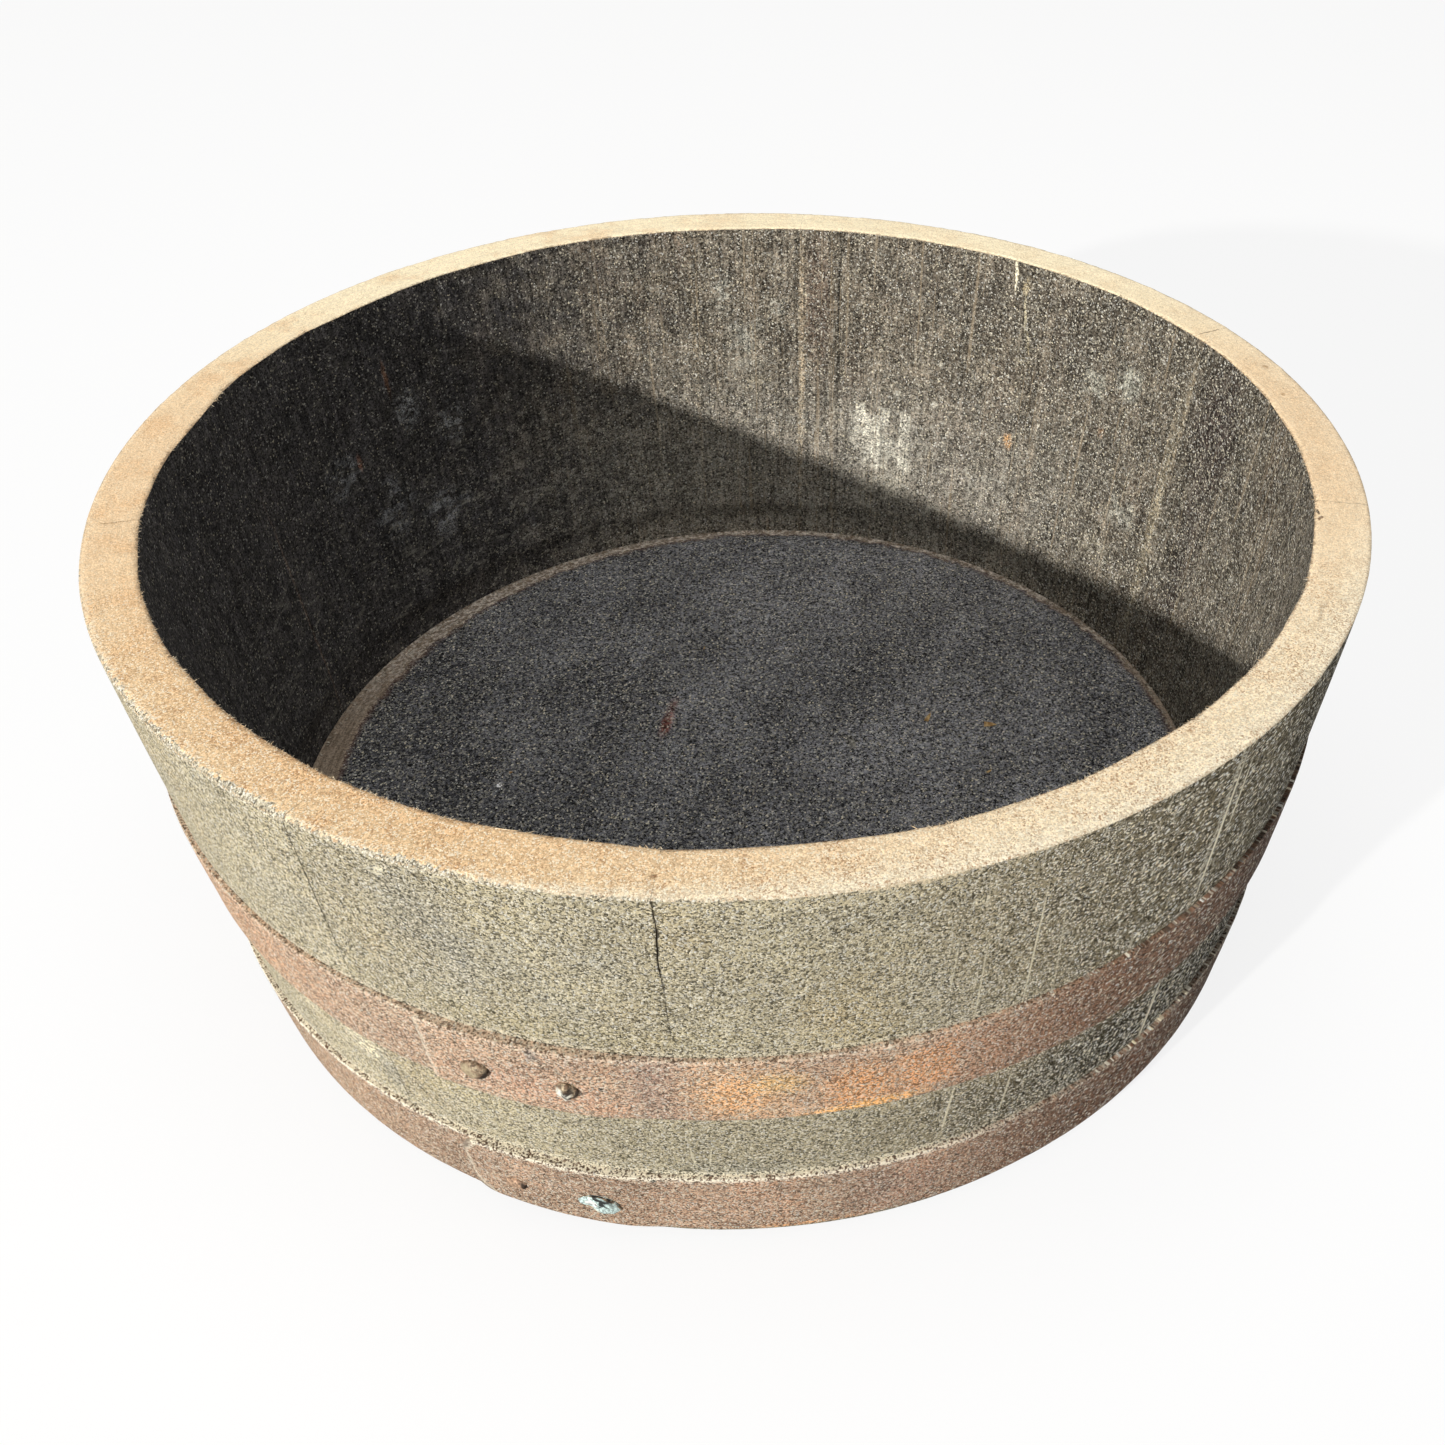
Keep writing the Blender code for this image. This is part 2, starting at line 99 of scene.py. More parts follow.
@dataclass(frozen=True)
class TubShape:
    """Sizes of the staves' outside and of the head's seat, as the frame has them."""

    height: float = 0.2595
    rim_radius: float = 0.320
    base_radius: float = 0.2848
    bow: float = 0.0016
    stave_thickness: float = 0.0255
    howel_depth: float = 0.0012
    howel_top: float = 0.0600
    howel_flat_top: float = 0.0460
    croze_top: float = 0.0348
    croze_bottom: float = 0.0282
    croze_radius: float = 0.26994
    head_top: float = 0.0385
    head_under: float = 0.0165
    head_edge_top: float = 0.0345
    head_edge_under: float = 0.0285
    head_radius: float = 0.26964
    shoulder_radius: float = 0.26404
    chime_bevel_height: float = 0.0140
    chime_flat: float = 0.0110
    chime_edge: float = 0.0020
    fit_gap: float = 0.0003

    def outer_radius(self, height: np.ndarray | float) -> np.ndarray | float:
        """Radius of the staves' outside at a height."""
        share = height / self.height
        return self.base_radius + (self.rim_radius - self.base_radius) * share + 4 * self.bow * share * (1 - share)

    @property
    def wall_tilt(self) -> float:
        """Lean of the wall from upright, in radians."""
        return math.atan2(self.rim_radius - self.base_radius, self.height)


TUB = TubShape()


def around(angle: np.ndarray, radius: np.ndarray, height: np.ndarray) -> np.ndarray:
    """Points at an angle from the front, a distance from the tub's middle and a height."""
    angle, radius, height = np.broadcast_arrays(angle, radius, height)
    return vectors(radius * np.sin(angle), -radius * np.cos(angle), height)


@dataclass
class Unevenness:
    """Seeded smooth noise from -1 to 1 that makes surfaces uneven."""

    seed: int
    order: np.ndarray = field(init=False)
    levels: np.ndarray = field(init=False)

    def __post_init__(self) -> None:
        """Draws the noise's tables."""
        rng = np.random.default_rng(self.seed)
        self.order = rng.permutation(256)
        self.levels = rng.uniform(-1, 1, 256)

    def at(self, points: np.ndarray, size: float | tuple[float, ...], layers: int = 2) -> np.ndarray:
        """Noise at points.

        Args:
            points: Points, with three places in the last axis.
            size: Size of the bumps, or three sizes, one along each axis.
            layers: How many finer layers are added.

        Returns:
            Values from -1 to 1.
        """
        total, whole = np.zeros(points.shape[:-1]), 0.0
        scaled = points / np.asarray(size)
        for layer in range(layers):
            spots = scaled * 2.03**layer + 17.3 * layer
            cell = np.floor(spots).astype(np.int64)
            part = spots - cell
            part = part * part * (3 - 2 * part)
            level = np.zeros_like(total)
            for step in np.ndindex(2, 2, 2):
                weight = np.prod(np.where(np.array(step) == 1, part, 1 - part), axis=-1)
                spot = 0
                for axis in range(3):
                    spot = self.order[(spot + cell[..., axis] + step[axis]) & 255]
                level += weight * self.levels[spot]
            total += 0.5**layer * level
            whole += 0.5**layer
        return total / whole


# Node materials

FLECK_WARM = seen(246, 234, 202)
FLECK_COOL = seen(236, 236, 230)


class Outline(Enum):
    """Outline of a mark."""

    UNEVEN = "uneven"
    STRAIGHT = "straight"
    SQUARE = "square"


STRAIGHT, SQUARE = Outline.STRAIGHT, Outline.SQUARE


@dataclass(frozen=True)
class Mark:
    """A stain, patch, scratch or crack on a surface, in a colour as seen."""

    place: tuple[float, float]
    width: float
    length: float
    colour: Colour
    strength: float = 0.8
    softness: float = 0.6
    broken: float = 0.0
    lean: float = 0.0
    outline: Outline = Outline.UNEVEN


def flat_marks(*rows: tuple) -> tuple[Mark, ...]:
    """Marks on a flat part: millimetres right, away, wide and long, and then the rest of the mark."""
    return tuple(Mark((x * MM, y * MM), wide * MM, long * MM, *rest) for x, y, wide, long, *rest in rows)


def wall_marks(*rows: tuple) -> tuple[Mark, ...]:
    """Marks on the wall or rim: degrees round, millimetres up or in, wide and long, and then the rest."""
    return flat_marks(*((math.radians(angle) * TUB.rim_radius / MM, *rest) for angle, *rest in rows))


class Grit(NamedTuple):
    """The grains on a surface: random levels from 0 to 1, curled fibres between them, and their height."""

    level: "Value"
    fleck: "Value"
    tint: "Value"
    curl: "Value"
    rise: "Value"


@dataclass(frozen=True)
class Value:
    """A number, place or colour in a material. Each step with it adds the nodes for that step."""

    bench: "Bench"
    socket: Socket

    def __add__(self, other: Number) -> "Value":
        """This number and another together."""
        return self.bench.math("ADD", self, other)

    def __sub__(self, other: Number) -> "Value":
        """This number less another."""
        return self.bench.math("SUBTRACT", self, other)

    def __rsub__(self, other: float) -> "Value":
        """Another number less this one."""
        return self.bench.math("SUBTRACT", other, self)

    def __mul__(self, other: Number) -> "Value":
        """This number times another."""
        return self.bench.math("MULTIPLY", self, other)

    def __truediv__(self, other: Number) -> "Value":
        """This number over another."""
        return self.bench.math("DIVIDE", self, other)

    def __abs__(self) -> "Value":
        """This number without its sign."""
        return self.bench.math("ABSOLUTE", self)

    def highest(self, other: Number) -> "Value":
        """The higher of this number and another."""
        return self.bench.math("MAXIMUM", self, other)

    def part(self, axis: str) -> "Value":
        """One of a vector's three parts, X, Y or Z."""
        return self.bench.node("SeparateXYZ", {0: self}, axis)

    @property
    def x(self) -> "Value":
        """A vector's first part."""
        return self.part("X")

    @property
    def y(self) -> "Value":
        """A vector's second part."""
        return self.part("Y")

    @property
    def z(self) -> "Value":
        """A vector's third part."""
        return self.part("Z")

    def moved(self, other: "Value | tuple", operation: str = "ADD") -> "Value":
        """This vector with another added or otherwise joined to it."""
        return self.bench.node("VectorMath", {0: self, 1: other}, operation=operation)

    def stretch(self, x: float, y: float, z: float) -> "Value":
        """This vector with its parts multiplied, so that noise on it is drawn out."""
        return self.moved((x, y, z), "MULTIPLY")

    def distance(self) -> "Value":
        """Length of this vector."""
        return self.bench.node("VectorMath", {0: self}, "Value", operation="LENGTH")

    def noise(self, size: float, detail: float = 2.0, rough: float = 0.5, warp: float = 0.0) -> "Value":
        """Noise from 0 to 1 at this place, different at each call.

        Args:
            size: Size of its bumps, in metres.
            detail: Number of finer layers.
            rough: Strength of the finer layers.
            warp: How far it is distorted.

        Returns:
            The noise value.
        """
        self.bench.noise_count += 1
        count = self.bench.noise_count
        spot = self.moved((0.37 * count, 0.83 * count, 0.59 * count))
        inputs = {"Vector": spot, "Scale": 1 / size, "Detail": detail, "Roughness": rough, "Distortion": warp}
        return self.bench.node("TexNoise", inputs)

    def ease(self, low: float, high: float, bottom: float = 0.0, top: float = 1.0) -> "Value":
        """Eases from bottom where this number is low to top where it is high, and holds it outside.

        Args:
            low: Value that gives bottom.
            high: Value that gives top.
            bottom: Result at low.
            top: Result at high.

        Returns:
            The eased value.
        """
        if low > high:
            low, high, bottom, top = high, low, top, bottom
        numbers = (self, low, high, bottom, top)
        return self.bench.node("MapRange", dict(enumerate(numbers)), interpolation_type="SMOOTHSTEP")

    def between(self, bottom: float, top: float) -> "Value":
        """Number that goes from bottom where this share is 0 to top where it is 1."""
        return self.ease(0.0, 1.0, bottom, top)

    def sway(self, far: float) -> "Value":
        """Distance to either side, up to the far one, from this noise."""
        return self.ease(0.3, 0.7, -far, far)

    def band(self, low: float, high: float, soft: float) -> "Value":
        """Share that is 1 from low to high and fades out over the soft distance outside."""
        return self.bench.math("MINIMUM", self.ease(low - soft, low), self.ease(high + soft, high))

    def shades(self, *stops: tuple[float, Colour]) -> "Value":
        """Colour that follows this number through set stops.

        Args:
            *stops: Value and colour of each stop, in order.

        Returns:
            The colour.
        """
        colour = self.bench.node("ValToRGB", {0: self})
        ramp = colour.socket.node.color_ramp
        while len(ramp.elements) < len(stops):
            ramp.elements.new(0.5)
        for element, (position, shade) in zip(ramp.elements, stops):
            element.position, element.color = position, (*shade, 1.0)
        return colour

    def coat(self, over: "Value | Colour", share: Number) -> "Value":
        """This colour with a share of another over it."""
        return self.bench.mix(share, self, over)

    def lit(self, factor: Number) -> "Value":
        """This colour times a number."""
        return self.bench.node("VectorMath", {0: self, "Scale": factor}, operation="SCALE")

    def grains(self, size: float) -> Grit:
        """Grit that covers a surface at this place.

        Args:
            size: Size of its grains, in metres.

        Returns:
            The grains.
        """
        cells = self.bench.node("TexVoronoi", {"Vector": self, "Scale": 1 / size}, "Color")
        level, fleck, tint = cells.x, cells.y, cells.z
        wave = abs(self.noise(size * 2.6, 2, 0.5) - 0.5)
        broken = self.noise(size * 2.4, 1, 0.5).ease(0.47, 0.54)
        curl = wave.ease(0.065, 0.030) * broken
        away = Value(self.bench, cells.socket.node.outputs["Distance"])
        dome = away.ease(0.65, 0.0) * fleck.ease(0.0, 1.0, 0.2, 1.0)
        return Grit(level, fleck, tint, curl, dome.highest(curl))

    def flecks(self, grit: Grit, share: Number, strength: Number, curled: Number = 0.0) -> "Value":
        """Turns a share of the grains, and curled fibres, into pale flecks on this colour.

        Args:
            grit: The grains.
            share: Share of the grains that are flecks.
            strength: How pale the flecks are.
            curled: How pale the curled fibres are, against the flecks.

        Returns:
            The flecked colour.
        """
        chosen = (grit.fleck + share).ease(0.96, 1.04).highest(grit.curl * curled)
        return self.coat(self.bench.mix(grit.tint, FLECK_WARM, FLECK_COOL), chosen * strength)

    def mark(self, surface: "Value", mark: Mark) -> "Value":
        """Lays a mark over this colour.

        Args:
            surface: Place on the surface's flat map.
            mark: The mark.

        Returns:
            The colour with the mark.
        """
        inputs = {
            "Vector": surface,
            "Location": (*mark.place, 0.0),
            "Rotation": (0.0, 0.0, math.radians(mark.lean)),
            "Scale": (mark.width / 2, mark.length / 2, 1000.0),
        }
        local = self.bench.node("Mapping", inputs, vector_type="TEXTURE")
        away = abs(local.x).highest(abs(local.y)) if mark.outline is SQUARE else local.distance()
        share = away.ease(1 + mark.softness, 1 - mark.softness, 0.0, mark.strength)
        if mark.broken > 0:
            patchy = surface.stretch(0.7, 1.4, 1.0).noise(max(mark.width, 0.004) * 0.3, 3, 0.6)
            share = share * patchy.ease(mark.broken - 0.08, mark.broken + 0.08)
        return self.coat(seen(*mark.colour), share)

    def marks(self, surface: "Value", marks: tuple[Mark, ...]) -> "Value":
        """Lays several marks over this colour, with slightly uneven outlines.

        Args:
            surface: Place on the surface's flat map.
            marks: The marks, lowest first.

        Returns:
            The colour with the marks.
        """
        if not marks:
            return self
        sway = self.bench.node("TexNoise", {"Vector": surface, "Scale": 1 / 0.006, "Detail": 3.0}, "Color")
        uneven = surface.moved(sway.moved((0.5, 0.5, 0.5), "SUBTRACT").stretch(0.003, 0.006, 0.0))
        colour = self
        for mark in marks:
            colour = colour.mark(surface if mark.outline is STRAIGHT else uneven, mark)
        return colour


class Bench:
    """Lays out the shader nodes of one material."""

    def __init__(self, tree: bpy.types.NodeTree) -> None:
        """Starts on a node tree."""
        self.tree = tree
        self.noise_count = 0

    def node(self, kind: str, inputs: dict, output: int | str = 0, **settings: object) -> Value:
        """Adds a node.

        Args:
            kind: Blender's name of the node type, without ShaderNode.
            inputs: Values, numbers, vectors or colours for its inputs.
            output: Which output is wanted.
            **settings: Values for the node's own properties.

        Returns:
            The output's value.
        """
        node = self.tree.nodes.new(f"ShaderNode{kind}")
        for key, setting in settings.items():
            setattr(node, key, setting)
        self.feed(node, inputs)
        return Value(self, node.outputs[output])

    def feed(self, node: bpy.types.Node, inputs: dict) -> None:
        """Links values to a node's inputs, or sets numbers, vectors and colours there.

        Args:
            node: The node.
            inputs: What goes into each input.
        """
        for key, value in inputs.items():
            target = node.inputs[key]
            if isinstance(value, Value):
                self.tree.links.new(value.socket, target)
            elif isinstance(value, tuple) and target.type == "RGBA":
                target.default_value = (*value[:3], 1.0)
            else:
                target.default_value = value

    def fact(self, name: str) -> Value:
        """Vector that the mesh carries at each point under that name."""
        return self.node("Attribute", {}, "Vector", attribute_name=name)

    def place(self) -> Value:
        """Place in the object's own metres."""
        return self.node("TexCoord", {}, "Object")

    def turned(self, place: Value, angle: float) -> Value:
        """Place turned by an angle in degrees."""
        rotation = (0.0, 0.0, math.radians(angle))
        return self.node("Mapping", {"Vector": place, "Rotation": rotation}, vector_type="POINT")

    def math(self, operation: str, first: Number, second: Number = 0.0, clamp: bool = False) -> Value:
        """A sum on numbers, kept from 0 to 1 where it is clamped."""
        return self.node("Math", {0: first, 1: second}, operation=operation, use_clamp=clamp)

    def mix(self, share: Number, first: Value | Colour, second: Value | Colour, kind: str = "RGBA") -> Value:
        """Mixes two colours, or two numbers where the kind is FLOAT, with a share of the second."""
        at, output = (6, 2) if kind == "RGBA" else (2, 0)
        return self.node("Mix", {0: share, at: first, at + 1: second}, output, data_type=kind)

    def shaded_right_side(self, wall: Value, start: float) -> tuple[Value, Value]:
        """Shares of the outside's right half and of its far right, which are gone again at the back; the finishes
        paint shade there.
        """
        near = wall.x.ease(start, 0.22) * wall.x.ease(*RIGHT_SHADE_ENDS)
        return near, wall.x.ease(0.20, 0.32) * wall.x.ease(*RIGHT_SHADE_ENDS)

    def spread_grains(self, fine: Grit, place: Value, wall: Value) -> Grit:
        """Grit on the outside, coarser at the right.

        Args:
            fine: The grains elsewhere.
            place: Place in the object's own metres.
            wall: Place on the unrolled wall.

        Returns:
            The grains.
        """
        wide = wall.stretch(0.66, 1.0, 0.0).grains(COARSE_GRIT)
        share = wall.x.ease(0.08, 0.24) * wall.x.ease(0.52, 0.42)
        ragged = place.noise(0.005, 3, 0.6).ease(0.3, 0.7, -0.4, 0.4)
        pick = (share + ragged).ease(0.45, 0.55)
        return Grit(*(self.mix(pick, first, second, "FLOAT") for first, second in zip(fine, wide)))

    def seams(self, strengths: str, near: float, far: float) -> Value:
        """How strongly a stave's joints show, from the strengths that the mesh carries.

        Args:
            strengths: Name of the mesh's vector of left and right strength.
            near: Distance from the joint at which it shows fully.
            far: Distance at which it has gone.

        Returns:
            The share, from 0 to 1.
        """
        sides, strength, grain = self.fact("sides"), self.fact(strengths), self.fact("grain")
        sway = grain.noise(0.0035, 3, 0.6).ease(0.3, 0.7, -0.0005, 0.0005)
        whole = grain.noise(0.012, 4, 0.7).ease(0.36, 0.56, -0.6, 0.0)
        left, right = (
            (sides.part(axis) + sway).ease(far, near) * self.math("ADD", strength.part(axis), whole, clamp=True)
            for axis in "XY"
        )
        return left.highest(right)

    def relief(self, *layers: tuple[Value, float]) -> None:
        """Gives the shader a bumped surface.

        Args:
            *layers: Height values from 0 to 1, each with its depth in metres, largest first.
        """
        normal = {}
        for height, depth in layers:
            inputs = {"Height": height, "Strength": 1.0, "Distance": depth, **normal}
            normal = {"Normal": self.node("Bump", inputs)}
        self.feed(self.tree.nodes["Principled BSDF"], normal)

    def finish(self, colour: Value, rough: float, shine: float, metal: float = 0.0) -> None:
        """Sets the shader's base colour, roughness, specular level and metallic share."""
        inputs = {"Base Color": colour, "Roughness": rough, "Specular IOR Level": shine, "Metallic": metal}
        self.feed(self.tree.nodes["Principled BSDF"], inputs)


class Finish(ABC):
    """A surface finish, which makes one node material."""

    name: str

    @abstractmethod
    def lay_out(self, bench: Bench) -> None:
        """Lays out the finish's nodes.

        Args:
            bench: Where the nodes go.
        """


@lru_cache(maxsize=None)
def material_of(finish: Finish) -> bpy.types.Material:
    """The material of a finish, made once.

    Args:
        finish: The finish.

    Returns:
        Its material.
    """
    material = bpy.data.materials.new(finish.name)
    material.use_nodes = True
    finish.lay_out(Bench(material.node_tree))
    return material


@dataclass(frozen=True)
class WeatheredOak(Finish):
    """The staves' outside: grey-olive wood, rough with short torn fibres."""

    name: str = "weathered_oak"
    dark: Colour = seen(146, 138, 115)
    middle: Colour = seen(158, 149, 124)
    light: Colour = seen(168, 159, 132)
    warm: Colour = seen(180, 160, 120)
    brown: Colour = seen(160, 144, 112)
    cool: Colour = seen(142, 145, 140)
    pale_fibre: Colour = seen(228, 220, 196)
    # Dark brown for the dark seams and for the line along each hoop's upper edge, which is partly painted shadow.
    dark_brown: Colour = seen(40, 36, 29)
    sawn: Colour = seen(240, 224, 192)
    sawn_dark: Colour = seen(232, 212, 176)
    marks: tuple[Mark, ...] = ()

    def lay_out(self, bench: Bench) -> None:
        """Lays out stains, marks, grit, hairs, the lines at the hoops, seams and the torn top, with painted shade on
        the right side and below the quarter hoop, and painted light on the left side.

        Args:
            bench: Where the nodes go.
        """
        wall, place = bench.fact("unrolled"), bench.place()
        height = wall.y
        blotch = place.noise(0.030, 4, 0.6)
        colour = blotch.shades((0.30, self.dark), (0.50, self.middle), (0.70, self.light))
        colour = colour.coat(self.warm, place.noise(0.055, 3).ease(0.53, 0.73, 0.0, 0.30))
        colour = colour.coat(self.cool, place.noise(0.060, 3).ease(0.54, 0.74, 0.0, 0.25))
        colour = colour.marks(wall, tuple(mark for mark in self.marks if mark.outline is not STRAIGHT))
        fine = place.grains(FINE_GRIT)
        grit = bench.spread_grains(fine, place, wall)
        patch = place.noise(0.0022, 2, 0.6)
        right, far = bench.shaded_right_side(wall, 0.0)
        # Painted shade: the visible right side is tinted browner here and darkened below, fading out again towards
        # the back.
        colour = colour.coat(self.brown, right * 0.6)
        tone = grit.level.between(0.22, 1.54) * patch.ease(0.3, 0.7, 0.94, 1.06) * bench.fact("sides").z
        # Painted shade darkens the right and far right, and painted light brightens the left side.
        tone = tone * right.between(1.0, 0.48) * far.between(1.0, 0.30) * wall.x.ease(1.45, 1.62, 1.0, 1.13)
        left = wall.x.ease(-0.05, -0.16).highest(wall.x.ease(1.40, 1.60))
        shadow = height.ease(0.11, 0.09) * (right.between(0.12, 0.70) - left * 0.24)
        colour = colour.lit(tone * (1.0 - shadow))
        # Flecks are paler on the right: partly pale grit, partly painted glints of grain in grazing light.
        share = right.between(0.13, 0.22) * far.between(1.0, 0.45)
        colour = colour.flecks(grit, share, right.between(0.66, 1.0), right.between(0.70, 0.30))
        hair = place.stretch(1.0, 1.0, 0.022).noise(0.0021, 2, 0.55, 0.3)
        colour = colour.coat(self.pale_fibre, hair.ease(0.655, 0.70) * wall.x.ease(0.05, 0.12, 0.04, 0.55))
        colour = colour.marks(wall, tuple(mark for mark in self.marks if mark.outline is STRAIGHT))
        colour = self.lay_hoop_lines(colour, wall, height, fine.level)
        colour = colour.coat(self.pale_fibre, bench.seams("pale_seams", 0.0007, 0.0017))
        colour = colour.coat(self.dark_brown, bench.seams("dark_seams", 0.0001, 0.0007))
        ragged = place.stretch(1.0, 1.0, 0.5).noise(0.0020, 4, 0.75).sway(0.0016)
        fresh = height + (bench.fact("rim_edge").z + ragged)
        sawn = bench.mix(place.noise(0.004, 2), self.sawn, self.sawn_dark).lit(grit.level.between(0.55, 1.0))
        colour = colour.coat(sawn, fresh.ease(TUB.height - 0.0004, TUB.height + 0.0006))
        bench.finish(colour, 0.92, 0.12)
        bench.relief((patch, 0.0005), (grit.rise * right.between(0.5, 1.0), 0.0006))

    def lay_hoop_lines(self, colour: Value, wall: Value, height: Value, level: Value) -> Value:
        """Lays the broken dark line, partly dirt and partly painted shadow of the gap above the hoop, and the pale
        fibres that gather on each hoop's upper edge.

        Args:
            colour: The colour so far.
            wall: Place on the unrolled wall.
            height: Height above the ground.
            level: Random level of each grain.

        Returns:
            The colour with the lines.
        """
        left = wall.x.ease(0.03, -0.03).highest(wall.x.ease(*LEFT_BEGINS))
        front = left.highest(wall.x.ease(0.17, 0.05, 0.22, 1.0))
        for hoop, dark, pale in ((QUARTER_HOOP, 0.95, 0.55), (HEAD_HOOP, 0.45, 0.95)):
            top = hoop.bottom + hoop.width
            # The dark line above the hoop is partly dirt, partly painted shadow of the gap.
            broken = wall.stretch(1.0, 0.4, 0.0).noise(0.005, 4, 0.8).ease(0.44, 0.56, 0.0, dark)
            line = height.band(top - 0.001, top + 0.0004, 0.0003) * broken * left
            dust = level.ease(0.45, 0.60) * height.band(top, top + 0.0024, 0.0012) * front
            colour = colour.coat(self.dark_brown, line).coat(self.pale_fibre, dust * pale)
        return colour


@dataclass(frozen=True)
class SawnOak(Finish):
    """The rim: end grain, fresh from the saw."""

    name: str = "sawn_oak"
    peach: Colour = seen(238, 206, 162)
    cream: Colour = seen(250, 232, 198)
    pale: Colour = seen(255, 240, 204)
    tan: Colour = seen(238, 208, 168)
    orange: Colour = seen(232, 188, 138)
    pore: Colour = seen(162, 116, 76)
    bright: Colour = seen(254, 246, 224)
    fuzz: Colour = seen(244, 233, 208)
    weathered: Colour = seen(184, 174, 150)
    weathered_dark: Colour = seen(150, 142, 124)
    line: Colour = seen(92, 66, 42)
    scorch: Colour = seen(104, 78, 58)
    marks: tuple[Mark, ...] = ()

    def lay_out(self, bench: Bench) -> None:
        """Lays out the tones round the rim, grit, pores, the torn edges, seams and marks, with painted shade along
        the outer corner.

        Args:
            bench: Where the nodes go.
        """
        wall, place = bench.fact("unrolled"), bench.place()
        depth = wall.z
        front = place.y.ease(-0.05, -0.22)
        colour = bench.mix(place.x.ease(-0.12, 0.16), self.peach, self.cream)
        colour = colour.coat(self.tan, place.y.ease(-0.20, -0.04, 0.0, 0.85))
        colour = colour.coat(self.pale, place.y.ease(0.02, 0.24))
        blotch = place.noise(0.020, 4, 0.6)
        left = place.x.ease(0.10, -0.16, 0.35, 1.0)
        colour = colour.coat(self.orange, blotch.ease(0.46, 0.68, 0.0, 0.45) * left)
        colour = colour.coat(self.orange, depth.ease(0.008, 0.022, 0.0, 0.30) * (front * left))
        across = bench.node("CombineXYZ", {0: wall.x, 1: depth})
        colour = colour.marks(across, self.marks)
        grit = place.grains(0.00066)
        torn = place.noise(0.0022, 3, 0.7)
        ringed = across.stretch(0.10, 1.0, 1.0).noise(0.0014, 3, 0.6)
        fuzzy = (depth + torn.sway(0.0025)) / place.x.ease(-0.12, 0.04, 0.0050, 0.0150)
        soft = bench.mix(place.noise(0.005, 2), self.fuzz, self.cream)
        colour = colour.coat(soft, fuzzy.ease(1.0, 0.1, 0.0, 0.85) * front.between(0.3, 1.0))
        dips = grit.level.ease(1.0, 0.0) * front.between(0.22, 0.32)
        tone = (1.12 - dips) * torn.ease(0.3, 0.7, 0.95, 1.05) * ringed.ease(0.3, 0.7, 0.94, 1.05)
        # Painted shade: the rim is darkened along its outer corner, which catches the light.
        colour = colour.lit(tone * depth.ease(0.0004, 0.0022, 0.72, 1.0))
        pores = grit.fleck.ease(0.16, 0.10, 0.0, 0.75).highest(grit.curl * 0.55)
        pores = pores * blotch.ease(0.35, 0.65, 0.45, 1.0) * front.between(0.30, 1.0)
        colour = colour.coat(self.pore, pores)
        colour = colour.coat(self.bright, grit.fleck.ease(0.80, 0.86, 0.0, 0.6) * front.between(0.4, 1.0))
        bared = depth + (bench.fact("rim_edge").z + torn.sway(0.0014))
        old = bench.mix(place.noise(0.010, 3), self.weathered, self.weathered_dark)
        old = old.lit(grit.level.between(0.34, 1.30)).flecks(grit, 0.16, 0.75, 0.85)
        colour = colour.coat(old, bared.ease(0.0005, -0.0006))
        inwards = bench.fact("rim_edge").x + torn.sway(0.0006)
        colour = colour.coat(self.scorch, inwards.ease(0.0008, 0.0001, 0.0, 0.55))
        colour = colour.coat(self.line, bench.seams("rim_seams", 0.0002, 0.0008))
        bench.finish(colour, 0.88, 0.12)
        bench.relief((torn, 0.00022), (grit.rise, 0.00014))


